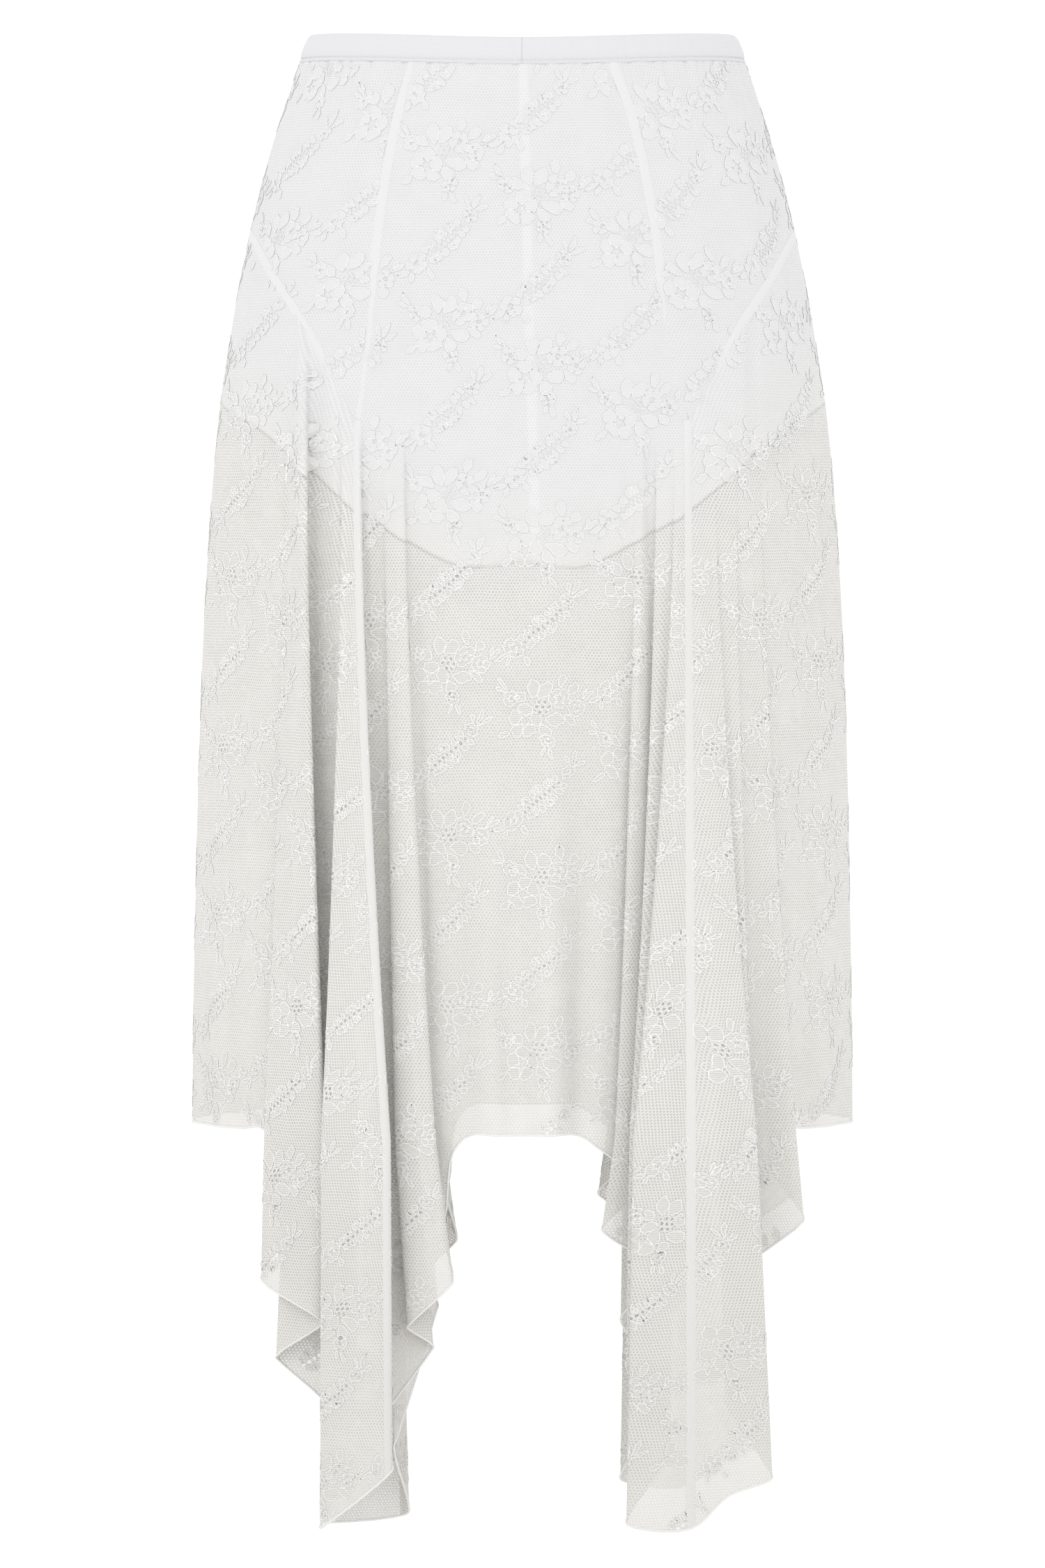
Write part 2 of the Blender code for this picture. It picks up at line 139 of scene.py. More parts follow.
# Camera, where the photograph was taken from, and studio, in metres
CAMERA_PLACE = (0.0, -6.0, -0.2907)
CAMERA_AIM = (0.0, 0.0, -0.482)
CAMERA_LENS = 213.4
CAMERA_SENSOR = 36.0
FLOOR_DROP = 1.06
FLOOR_HALF = 9.0
WORLD_STRENGTH = 1.1
LIGHTS = [
    # name, place, aim, size, watts
    ("key", (-2.2, -3.2, 2.2), (0.0, 0.0, -0.45), 2.0, 20.0),
    ("fill", (2.8, -2.8, 0.8), (0.0, 0.0, -0.5), 2.0, 6.0),
]

MM = 0.001

# Cloth and seams
LACE_WALL = 1.4
LINING_WALL = 1.0
LAYER_GAP = 2.0

# Waistband
BAND_DEPTH = 17.5
BAND_WALL = 3.0
BAND_DIP = 5.5
BAND_PROFILE = [
    # out from the middle of the wall in wall thicknesses, share of the depth
    (-0.5, 0.04),
    (-0.5, 0.5),
    (-0.5, 0.96),
    (-0.1, 1.01),
    (0.08, 1.0),
    (0.22, 0.96),
    (0.26, 0.9),
    (0.16, 0.85),
    (0.36, 0.79),
    (0.52, 0.68),
    (0.58, 0.5),
    (0.58, 0.3),
    (0.52, 0.14),
    (0.35, 0.02),
    (0.1, -0.01),
    (-0.1, 0.0),
    (-0.5, 0.04),
]
BAND_GATHER = 0.4
BAND_OUTMOST = 0.62

# The waistband's stitches: how many, their height as a share of the band, their place in wall thicknesses,
# and their length in radians, rise and half width
STITCHES = 300
STITCH_SHARE = 0.85
STITCH_SEAT = 0.16
STITCH_ARC = 0.013
STITCH_RISE = 0.45
STITCH_HALF = 0.28

# Heights
POINT_DROP = 248.0
FOLD_LEVEL = 700.0
SHORT_HEM = 699.0

# How the folds open below the seam points, and how softly they turn
OPENING_POWER = 1.5
STANDING_POWER = 0.7
FOLD_RADIUS = 2.0
SHARP_TURN = 120.0
# The two columns of a softened fold stand apart by these shares of the way to their neighbours
START_APART = 0.3
HEM_APART = 0.06

# How the rows gather towards the seam points
ROW_POWER = 1.3

# Steps that close in on the height of the yoke's edge over a place
HEIGHT_STEPS = 12

# Half width and half depth of the body of the skirt at each height
FIGURE = [
    # drop, half width, half depth
    (-10, 130, 97),
    (0, 136, 101),
    (17, 143, 105),
    (31, 148, 108),
    (67, 160, 114),
    (103, 170, 119),
    (157, 182, 126),
    (211, 191, 131),
    (247, 196, 134),
    (319, 202, 138),
    (427, 207, 142),
    (607, 211, 147),
    (700, 212, 149),
    (960, 213, 152),
]

# The two long seams above the seam points: distance from the middle at each height
LONG_SEAMS = [
    # drop, left, right
    (0, 66, 55),
    (20, 70, 58),
    (51, 79, 69),
    (113, 90, 82),
    (202, 99, 94),
    (248, 105, 105),
]

# Lower edge of the hip yoke, from the seam point to the middle of the side
YOKE_EDGE = [
    # share of the way, drop
    (0.0, 248),
    (0.25, 191),
    (0.5, 156),
    (0.75, 134),
    (1.0, 127),
]

# Folds of the left front corner, from the side to the middle. Each column of cloth starts at the seam
# point's level, is measured at FOLD_LEVEL and ends at the hem. Out is how far it lies in front of the middle
# of the body.
LEFT_CORNER = [
    # name, start x, level x, hem x, out, hem drop
    ("side_run", -160, -164, -165, 97, 699),
    ("hidden_turn", -153, -141, -139, 114, 742),
    ("outer_edge", -147.5, -163, -165, 123, 791),
    ("outer_end", -141, -125, -127, 156, 815),
    ("tuck_edge", -131, -149, -155, 127, 842),
    ("tuck_return", -124, -117, -121, 135, 873),
    ("tuck_turn", -118, -103, -106, 149, 902),
    ("tip_edge", -111.5, -126, -127, 168, 947),
    ("seam", -105, -84, -83, 180, 908),
    ("inner_turn", -98.5, -92, -89, 152, 879),
    ("inner_edge", -92, -67, -57, 152, 832),
    ("inner_return", -85, -80, -72, 161, 819),
    ("centre_edge", -78, -56, -45, 165, 792),
    ("centre_turn", -71, -60, -50, 147, 752),
    ("centre_run", -63, -49, -44, 147, 710),
]

# Folds of the right front corner, from the middle to the side
RIGHT_CORNER = [
    # name, start x, level x, hem x, out, hem drop
    ("centre_run", 60, 51, 49, 146, 708),
    ("centre_turn", 67, 77, 76, 145, 730),
    ("centre_edge", 74, 59, 51, 152, 758),
    ("inner_turn", 81, 103, 104, 147, 795),
    ("tuck_edge", 87, 68, 66, 160, 843),
    ("tuck_turn", 93, 93, 93, 167, 893),
    ("tip_edge", 99, 70, 66, 178, 942),
    ("seam", 105, 106, 106, 173, 945),
    ("front_wave", 111, 127, 130, 166, 925),
    ("outer_edge", 118, 147, 157, 154, 915),
    ("outer_turn", 125, 124, 128, 146, 866),
    ("second_edge", 132, 145, 151, 138, 821),
    ("second_turn", 139, 131, 137, 129, 789),
    ("side_edge", 146, 173, 178, 114, 754),
    ("side_turn", 153, 155, 159, 107, 724),
    ("side_run", 160, 166, 167, 97, 699),
]

# The back corners are the front ones turned over to the back, with these columns ending elsewhere
BACK_LEFT_ENDS = {
    # name: (hem x, hem drop)
    "tuck_turn": (-112, 930),
    "tip_edge": (-133, 979),
    "seam": (-77, 975),
    "inner_turn": (-84, 925),
}
BACK_RIGHT_ENDS = {
    "tip_edge": (66, 952),
    "seam": (106, 956),
    "front_wave": (130, 940),
}

# Slow waves of the plain stretch between two corners
CENTRE_WAVES = [
    # level x, how far it stands out
    (-33, -1),
    (-16, 3),
    (0, -1),
    (17, 4),
    (35, -1),
]
CENTRE_SPREAD = 1.3

# Angles of the columns round the side, where 0 is the front and 90 the side
SIDE_ANGLES = [
    # under the yoke, at the hem
    (66, 58),
    (72, 66),
    (78, 74),
    (84, 82),
    (90, 90),
    (96, 98),
    (102, 106),
    (108, 114),
    (114, 122),
]
SIDE_WAVE = 2.5

# Lower edge of the lining, from the middle of the front round the side to the middle of the back, and how far
# each column turns in under the body
LINING_EDGE = [
    # angle, drop, turning in
    (0, 334, 1.0),
    (5, 338, 0.62),
    (10, 339, 0.30),
    (16, 339, 0.10),
    (25, 329, 0.0),
    (36, 311, 0.0),
    (47, 290, 0.0),
    (58, 268, 0.0),
    (73, 246, 0.0),
    (90, 233, 0.0),
    (107, 246, 0.0),
    (122, 268, 0.0),
    (135, 292, 0.0),
    (147, 315, 0.0),
    (157, 331, 0.0),
    (165, 340, 0.10),
    (170, 341, 0.30),
    (175, 339, 0.62),
    (180, 334, 1.0),
]
CROTCH_START = 212.0
CROTCH_DROP = 334.0
CROTCH_HALF_GAP = 0.8


def curve(table, where, column=1):
    """Reads a column of a table between its rows, on a smooth curve through them."""
    keys = [row[0] for row in table]
    values = [row[column] for row in table]
    if where <= keys[0]:
        return values[0]
    if where >= keys[-1]:
        return values[-1]
    i = max(k for k in range(len(keys) - 1) if keys[k] <= where)

    def slope(k):
        low, high = max(k - 1, 0), min(k + 1, len(keys) - 1)
        return (values[high] - values[low]) / (keys[high] - keys[low])

    span = keys[i + 1] - keys[i]
    t = (where - keys[i]) / span
    rise = values[i + 1] - values[i]
    leave = slope(i) * span - rise
    arrive = rise - slope(i + 1) * span
    return values[i] + t * rise + t * (1 - t) * ((1 - t) * leave + t * arrive)


def half_width(drop):
    return curve(FIGURE, drop, 1)


def half_depth(drop):
    return curve(FIGURE, drop, 2)


def depth_at(x, drop):
    """How far in front of the middle the body lies at a place along X."""
    share = min(0.999, abs(x) / half_width(drop))
    return half_depth(drop) * math.sqrt(1 - share * share)


def angle_of(x, drop):
    """The angle at which the front of the body has a place along X."""
    return math.degrees(math.asin(max(-1.0, min(1.0, x / half_width(drop)))))


def seam_angle(drop, side):
    """The angle of a long seam at a height: side is -1 on the left and 1 on the right."""
    return angle_of(curve(LONG_SEAMS, drop, 1 if side < 0 else 2), drop)


def yoke_drop(angle):
    """Height of the yoke's lower edge at an angle, the same on the front and the back."""
    from_front = 90.0 - abs(90.0 - abs(angle))
    start = seam_angle(POINT_DROP, 1)
    share = max(0.0, min(1.0, (from_front - start) / (90.0 - start)))
    return curve(YOKE_EDGE, share)


def yoke_drop_over(x):
    """Height of the yoke's lower edge over a place along X on the front."""
    drop = POINT_DROP
    for _ in range(HEIGHT_STEPS):
        drop = (drop + yoke_drop(angle_of(x, drop))) / 2
    return drop


class Column:
    """One line of cloth from its upper end to the hem. sign is 1 on the front and -1 on the back."""

    def __init__(self, start, level, foot, hem, sign, is_seam=False):
        self.start = start
        self.level = level
        self.foot = foot
        self.hem = hem
        self.sign = sign
        self.is_seam = is_seam

    def at(self, share):
        """The point at a share of the way from the upper end to the hem."""
        start_x, start_drop = self.start
        level_x, level_out = self.level
        drop = start_drop + (self.hem - start_drop) * share
        s = (drop - start_drop) / (FOLD_LEVEL - start_drop)
        if s <= 1.0:
            x = start_x + (level_x - start_x) * s ** OPENING_POWER
            folded = level_out + depth_at(level_x, drop) - depth_at(level_x, FOLD_LEVEL)
            opened = s ** STANDING_POWER
            out = depth_at(x, drop) * (1 - opened) + folded * opened
        else:
            past = (drop - FOLD_LEVEL) / (self.hem - FOLD_LEVEL)
            x = level_x + (self.foot - level_x) * past
            out = level_out
        return x, -out * self.sign, drop


class SideColumn:
    """A column of the plain stretch round the side, which hangs on the body with a slight wave."""

    is_seam = False

    def __init__(self, angle, hem_angle, side, wave):
        self.angle = angle
        self.hem_angle = hem_angle
        self.side = side
        self.wave = wave
        self.start_drop = yoke_drop(angle)

    def at(self, share):
        drop = self.start_drop + (SHORT_HEM - self.start_drop) * share
        a = math.radians(self.angle + (self.hem_angle - self.angle) * share)
        out = 1.0 + self.wave * share / half_width(drop)
        x = half_width(drop) * math.sin(a) * out * self.side
        y = -half_depth(drop) * math.cos(a) * out
        return x, y, drop


def corner(table, sign, ends=None):
    """The columns of one corner, in the table's order."""
    columns = []
    for name, start_x, level_x, hem_x, out, hem in table:
        foot, hem = (ends or {}).get(name, (hem_x, hem))
        seam_x = abs(next(row[1] for row in table if row[0] == "seam"))
        drop = POINT_DROP
        if abs(start_x) > seam_x:
            drop = yoke_drop_over(start_x)
        columns.append(Column((start_x, drop), (level_x, out), foot, hem, sign, name == "seam"))
    return columns


def softened(columns):
    """Turns each sharp fold into two columns that stand apart, so the cloth bends round it."""
    result = []
    for k, column in enumerate(columns):
        if k in (0, len(columns) - 1):
            result.append(column)
            continue
        before, after = columns[k - 1], columns[k + 1]
        x, out = column.level
        ways = []
        for other in (before, after):
            dx, dy = other.level[0] - x, other.level[1] - out
            size = math.hypot(dx, dy)
            ways.append((dx / size, dy / size))
        cosine = ways[0][0] * ways[1][0] + ways[0][1] * ways[1][1]
        if math.degrees(math.acos(max(-1.0, min(1.0, cosine)))) > SHARP_TURN:
            result.append(column)
            continue
        middle = (ways[0][0] + ways[1][0], ways[0][1] + ways[1][1])
        length = math.hypot(*middle)
        across = (-middle[1] / length, middle[0] / length)
        for step, (other, way) in enumerate(zip((before, after), ways)):
            towards = 1.0 if way[0] * across[0] + way[1] * across[1] > 0 else -1.0
            shift_x, shift_out = across[0] * towards * FOLD_RADIUS, across[1] * towards * FOLD_RADIUS
            start_x = column.start[0] + (other.start[0] - column.start[0]) * START_APART
            start_drop = column.start[1] + (other.start[1] - column.start[1]) * START_APART
            if column.is_seam and step == 0:
                start_x, start_drop = column.start
            hem = column.hem + (other.hem - column.hem) * HEM_APART
            result.append(Column((start_x, start_drop), (x + shift_x, out + shift_out), column.foot + shift_x,
                                 hem, column.sign, column.is_seam and step == 0))
    return result


def centre_run(sign):
    """The columns between the two corners of the front or the back, from left to right."""
    columns = []
    for x, wave in CENTRE_WAVES:
        columns.append(Column((x * CENTRE_SPREAD, POINT_DROP), (x, depth_at(x, FOLD_LEVEL) + wave), x,
                              SHORT_HEM, sign))
    return columns


def side_run(side, turned):
    """The columns round one side, from front to back, or from back to front if turned."""
    columns = []
    for k, (angle, hem_angle) in enumerate(SIDE_ANGLES):
        columns.append(SideColumn(angle, hem_angle, side, SIDE_WAVE * (k % 2)))
    return columns[::-1] if turned else columns


def skirt_columns():
    """All columns round the skirt: across the front to the right, round the side, back, and the left side."""
    front_left = softened(corner(LEFT_CORNER, 1))
    front_right = softened(corner(RIGHT_CORNER, 1))
    back_left = softened(corner(LEFT_CORNER, -1, BACK_LEFT_ENDS))
    back_right = softened(corner(RIGHT_CORNER, -1, BACK_RIGHT_ENDS))
    columns = centre_run(1) + front_right + side_run(1, False) + back_right[::-1]
    columns += centre_run(-1)[::-1] + back_left[::-1] + side_run(-1, True) + front_left
    return columns


# Soft creases, each along a line on the body from an upper to a lower place. A negative depth
# is a trough. Angles are degrees round the body, 0 at the front and positive to the right.
CREASES = [
    # drop, angle, to drop, to angle, half width, depth
    (330, -4.8, 425, -4.6, 6, -2.2),
    (540, -2.7, 720, -2.0, 7, -3.2),
    (540, 10.7, 720, 9.9, 6, -3.0),
    (300, 3.0, 690, 4.0, 12, 2.2),
    (330, -9.0, 720, -7.6, 10, 1.8),
    (60, -12.0, 235, -16.0, 9, -1.1),
    (45, 9.0, 240, 13.0, 10, -1.0),
    (150, 33.0, 300, 36.0, 12, 1.4),
    (140, -35.0, 310, -38.0, 11, 1.3),
    (170, 64.0, 640, 60.0, 13, -2.4),
    (160, 80.0, 690, 78.0, 14, 2.6),
    (190, 99.0, 660, 103.0, 12, -2.6),
    (180, -62.0, 650, -60.0, 13, -2.2),
    (160, -76.0, 690, -79.0, 12, 2.8),
    (200, -92.0, 600, -96.0, 14, -2.5),
    (330, 175.0, 700, 177.0, 8, -3.0),
    (420, 188.0, 720, 190.0, 7, -2.6),
    (300, 182.0, 690, 183.0, 13, 2.0),
    (60, 168.0, 240, 165.0, 10, -1.0),
    (50, 191.0, 250, 195.0, 9, -1.2),
]

CREASE_ENDS = 0.7

# Gathers under the waistband: their waves round the waist, depth and how far down they fade
GATHER_WAVES = [
    # waves, phase, share
    (61, 0.0, 0.34),
    (97, 1.3, 0.3),
    (143, 2.9, 0.22),
    (37, 0.7, 0.26),
]
GATHER_DEPTH = 0.9
GATHER_FADE = 34.0

# The body and the lining's edge read from their tables once, in fine steps
DROPS = np.arange(-20.0, 1001.0, 2.0)
WIDTHS = np.array([half_width(d) for d in DROPS])
DEPTHS = np.array([half_depth(d) for d in DROPS])
LINING_LOW = np.array([curve(LINING_EDGE, angle, 1) for angle in range(181)])


def below_lining(points):
    """How far each point lies below the lining's lower edge there: under 0 where it covers the lining."""
    places = np.asarray(points, dtype=float)
    angles = np.degrees(np.arctan2(np.abs(places[:, 0]), -places[:, 1]))
    return -places[:, 2] - np.interp(angles, np.arange(181), LINING_LOW)


def from_centre_seam(points):
    """How far each point lies from the lining's centre seam, front or back."""
    places = np.asarray(points, dtype=float)
    drops = -places[:, 2]
    at = np.interp(drops, DROPS, WIDTHS) * np.sin(CENTRE_TURN * drops / CENTRE_TURN_DROP)
    return places[:, 0] + np.sign(places[:, 1]) * at


def body_radii(drop):
    return np.interp(drop, DROPS, WIDTHS), np.interp(drop, DROPS, DEPTHS)


def gathers(angle):
    """Uneven small waves round the waist, from -1 to 1."""
    return sum(share * np.sin(waves * angle + phase) for waves, phase, share in GATHER_WAVES)


def body_point(angle, drop, out=0.0):
    """A point of the body of the skirt at an angle in radians, with a distance out from it."""
    width, depth = body_radii(drop)
    x, y = width * np.sin(angle), -depth * np.cos(angle)
    nx, ny = x / width ** 2, y / depth ** 2
    size = np.hypot(nx, ny)
    return np.stack([x + nx / size * out, y + ny / size * out, drop + 0 * angle], axis=-1)


def placed(points):
    """Points with drops below the waist turned into points with heights, with the dip of the waist."""
    x, y, drop = points[..., 0], points[..., 1], points[..., 2]
    reach = np.maximum(np.hypot(x, y), 1e-6)
    dip = BAND_DIP * np.maximum(0.0, -y / reach) ** 2 * np.maximum(0.0, 1.0 - drop / POINT_DROP)
    return np.stack([x, y, -(drop + dip)], axis=-1)


def smooth_round(rows, steps):
    """Closed rows with several points for each column, on a curve through the columns that makes no loops."""
    p0, p1 = np.roll(rows, 1, axis=1), rows
    p2, p3 = np.roll(rows, -1, axis=1), np.roll(rows, -2, axis=1)

    def gap(a, b):
        return np.sqrt(np.maximum(np.linalg.norm(b - a, axis=2), 1e-3))[..., None]

    t1 = gap(p0, p1)
    t2 = t1 + gap(p1, p2)
    t3 = t2 + gap(p2, p3)
    result = np.empty((rows.shape[0], rows.shape[1] * steps, 3))
    for k in range(steps):
        t = t1 + (t2 - t1) * k / steps
        a1 = ((t1 - t) * p0 + t * p1) / t1
        a2 = ((t2 - t) * p1 + (t - t1) * p2) / (t2 - t1)
        a3 = ((t3 - t) * p2 + (t - t2) * p3) / (t3 - t2)
        b1 = ((t2 - t) * a1 + t * a2) / t2
        b2 = ((t3 - t) * a2 + (t - t1) * a3) / (t3 - t1)
        result[:, k::steps] = ((t2 - t) * b1 + (t - t1) * b2) / (t2 - t1)
    return result


def facing(points, closed=False):
    """Directions square to a grid of points, pointing out of the skirt."""
    if closed:
        across = np.roll(points, -1, axis=1) - np.roll(points, 1, axis=1)
    else:
        across = np.gradient(points, axis=1)
    down = np.gradient(points, axis=0)
    normal = np.cross(down, across)
    return normal / np.maximum(np.linalg.norm(normal, axis=-1), 1e-9)[..., None]


def creased(points, normals):
    """The points moved along their normals by the creases and the gathers under the waistband."""
    drop = -points[..., 2]
    width, depth = body_radii(drop)
    angle = np.arctan2(points[..., 0] / width, -points[..., 1] / depth)
    degrees = np.degrees(angle)
    move = np.zeros_like(drop)
    for top, top_angle, low, low_angle, half, size in CREASES:
        share = np.clip((drop - top) / (low - top), 0.0, 1.0)
        middle = top_angle + (low_angle - top_angle) * share
        away = (degrees - middle + 180.0) % 360.0 - 180.0
        across = np.radians(away) * (width + depth) / 2
        move += size * np.exp(-(across / half) ** 2) * np.sin(math.pi * share) ** CREASE_ENDS
    move += GATHER_DEPTH * gathers(angle) * np.exp(-np.maximum(drop - BAND_DEPTH, 0.0) / GATHER_FADE)
    return points + normals * move[..., None]


def flat_map(points):
    """Where each point of a grid lies on the flat cloth: across from the middle column, and its drop."""
    level = np.linalg.norm(np.diff(points[..., :2], axis=1), axis=2)
    across = np.concatenate([np.zeros((len(points), 1)), np.cumsum(level, axis=1)], axis=1)
    across -= across[:, points.shape[1] // 2][:, None]
    return np.stack([across, -points[..., 2]], axis=-1)


def shell(name, points, flat, material, closed=False, node=None):
    """A thin sheet through a grid of points, with its place on the flat cloth as its UV map."""
    rows, count = points.shape[:2]
    last = count if closed else count - 1
    faces = []
    for r in range(rows - 1):
        for c in range(last):
            d = (c + 1) % count
            faces.append((r * count + c, (r + 1) * count + c, (r + 1) * count + d, r * count + d))
    return piece(name, points.reshape(-1, 3), faces, flat.reshape(-1, 2), [material], None, node)


def piece(name, points, faces, flat, materials, slots=None, node=None):
    """A mesh with its flat map, its distances for the materials, and its place in the frame."""
    mesh = bpy.data.meshes.new(name)
    mesh.from_pydata((np.asarray(points) * MM).tolist(), [], faces)
    uv = mesh.uv_layers.new(name="flat")
    corners = np.empty(len(mesh.loops), dtype=np.int32)
    mesh.loops.foreach_get("vertex_index", corners)
    uv.data.foreach_set("uv", (np.asarray(flat)[corners] * MM).astype(np.float32).ravel())
    for field, values in (("below_lining", below_lining(points)), ("from_seam", from_centre_seam(points))):
        mesh.attributes.new(field, "FLOAT", "POINT").data.foreach_set("value", values.astype(np.float32))
    for material in materials:
        mesh.materials.append(material)
    if slots is not None:
        mesh.polygons.foreach_set("material_index", np.asarray(slots, dtype=np.int32))
    mesh.shade_smooth()
    made = bpy.data.objects.new(name, mesh)
    bpy.context.scene.collection.objects.link(made)
    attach(made, "root")
    if node:
        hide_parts(node)
    return made


def band_along(name, middle, normals, half, lift, material):
    """A soft raised band: middle is a grid with a row for each step along it and five points across."""
    points = middle + normals * (SEAM_PROFILE * lift)[None, :, None]
    length = np.concatenate([[0.0], np.cumsum(np.linalg.norm(np.diff(middle[:, 2], axis=0), axis=1))])
    across = np.linspace(-half, half, len(SEAM_PROFILE))
    flat = np.stack(np.broadcast_arrays(across[None], length[:, None]), axis=-1)
    shell(name, points, flat, material)


def cross_places(rows, normals, index, half):
    """Five places across a column of closed rows, within a distance on both sides, and their normals."""
    around = [(index + k) % rows.shape[1] for k in range(-SEAM_REACH, SEAM_REACH + 1)]
    offsets = np.linspace(-half, half, len(SEAM_PROFILE))
    places, ways = [], []
    for row, directions in zip(rows[:, around], normals[:, around]):
        along = np.concatenate([[0.0], np.cumsum(np.linalg.norm(np.diff(row, axis=0), axis=1))])
        along -= along[SEAM_REACH]
        places.append([[np.interp(o, along, row[:, i]) for i in range(3)] for o in offsets])
        ways.append([[np.interp(o, along, directions[:, i]) for i in range(3)] for o in offsets])
    return np.array(places), np.array(ways)


def body_band(name, path, half, lift, material, inset=0.0):
    """A raised band on the body along a path of (angle in radians, drop)."""
    path = np.array(path)
    width, depth = body_radii(path[:, 1])
    radius = np.hypot(width * np.cos(path[:, 0]), depth * np.sin(path[:, 0]))
    along = np.gradient(path, axis=0)
    step = np.stack([along[:, 0] * radius, along[:, 1]], axis=-1)
    step /= np.linalg.norm(step, axis=1)[:, None]
    offsets = np.linspace(-half, half, len(SEAM_PROFILE))
    angle = path[:, 0][:, None] - offsets[None] * (step[:, 1] / radius)[:, None]
    drop = path[:, 1][:, None] + offsets[None] * step[:, 0][:, None]
    middle = placed(body_point(angle, drop, -inset))
    outer = placed(body_point(angle, drop, -inset + 1.0))
    band_along(name, middle, outer - middle, half, lift, material)


def petal(x, y, way, length, width, blunt, wave):
    """The outline of a petal or leaf from its foot, pointing in a direction in degrees."""
    t = np.arange(PETAL_STEPS) * 2 * math.pi / PETAL_STEPS
    along = (1 - np.cos(t)) / 2
    across = np.sin(t) * np.abs(np.sin(t)) ** (1.0 - blunt) * (0.55 + 0.6 * along) / 2
    across *= 1.0 + wave * np.cos(5 * t)
    bumps = 1.0 + 0.05 * np.sin(7 * t + x) + 0.04 * np.sin(4 * t + y)
    a, b = along * length * bumps, across * width * bumps
    cosine, sine = math.cos(math.radians(way)), math.sin(math.radians(way))
    return np.stack([x + a * cosine - b * sine, y + a * sine + b * cosine], axis=1)


def ring(x, y, radius, steps=RING_STEPS):
    t = np.arange(steps) * 2 * math.pi / steps
    return np.stack([x + radius * np.cos(t), y + radius * np.sin(t)], axis=1)


def flower(x, y, radius, turn):
    """Five petals round a ringed middle: a list of (outline, filled, thread width)."""
    parts = []
    inner = radius * 0.28
    for k in range(5):
        way = turn + 72.0 * k
        foot = (x + inner * math.cos(math.radians(way)), y + inner * math.sin(math.radians(way)))
        parts.append((petal(*foot, way, radius - inner, radius * 1.04, 0.8, 0.07), True, THREAD))
    parts.append((ring(x, y, inner * 0.95, 10), False, THREAD * 0.8))
    return parts


def eyelets(places):
    return [(ring(x, y, EYELET + THREAD / 2), False, THREAD * 0.8) for x, y in places]


def leaves(table):
    return [(petal(*row, 0.45, 0.05), True, THREAD) for row in table]


def cluster():
    """A group of flowers round a patch of eyelets, with hatched leaves and forked tips."""
    parts = flower(-11, -6, 10.5, 12) + flower(11, 8, 6.5, 40) + flower(21, 3, 5.5, 5)
    parts += flower(-20, 9, 5.0, 70) + flower(3, -18, 4.5, 20)
    parts += eyelets([PATCH_PLACE, *ring(*PATCH_PLACE, CHAIN_STEP, 6)])
    parts += leaves([
        # foot x, y, direction, length, width
        (2, -3, -18, 13, 9),
        (0, -7, -62, 10, 8),
        (-2, 9, 52, 12, 9),
        (-5, 8, 98, 12, 9),
        (-10, 6, 136, 9, 7),
        (12, 15, 92, 9, 6),
        (17, 11, 48, 9, 6),
        (14, -2, -34, 9, 6),
        (25, 7, 34, 10, 3),
        (26, 8, 66, 7, 2.4),
        (-23, 13, 122, 9, 3),
        (-24, 12, 158, 7, 2.4),
        (4, -22, -64, 8, 2.6),
        (2, -22, -104, 6, 2.2),
        (-20, -12, 214, 8, 4),
    ])
    return parts


def sprig():
    """A slanting spray: a chain of eyelets between leaves, with a flower at each end and forked tips."""
    turn = math.radians(CHAIN_WAY)
    parts = []
    for k in range(-CHAIN_HALF, CHAIN_HALF + 1):
        x, y = k * CHAIN_STEP * math.cos(turn), k * CHAIN_STEP * math.sin(turn)
        parts += eyelets([(x, y)])
        size = 6.2 - 0.35 * abs(k)
        for side, tilt in ((1, 24 * math.sin(2.3 * k)), (-1, 24 * math.cos(1.7 * k))):
            foot = (x - 1.6 * side * math.sin(turn), y + 1.6 * side * math.cos(turn))
            parts += leaves([(*foot, CHAIN_WAY + 90 * side + tilt, size, size * 0.8)])
    parts += flower(-18, -14, 6.5, 50) + flower(16, 16, 4.5, 20)
    parts += leaves([
        (19, 20, 70, 10, 3),
        (20, 19, 28, 9, 2.6),
        (17, 21, 112, 6, 2.4),
        (-22, -18, 205, 9, 3),
        (-21, -19, 250, 7, 2.6),
        (-12, -18, 300, 7, 4),
    ])
    return parts


def unevenly(line):
    """Bends an outline a little, each repeat in its own way, as a loom does."""
    u, v = line[:, 0], line[:, 1]
    across = BEND * np.sin(v / 3.1 + 1.7 * np.sin(u / 13.0)) + QUIVER * np.sin(v * 1.9 + u / 5.0)
    down = BEND * np.sin(u / 3.4 + 1.5 * np.sin(v / 11.0)) + QUIVER * np.sin(u * 1.7 + v / 6.0)
    return np.stack([u + across, v + down], axis=1)


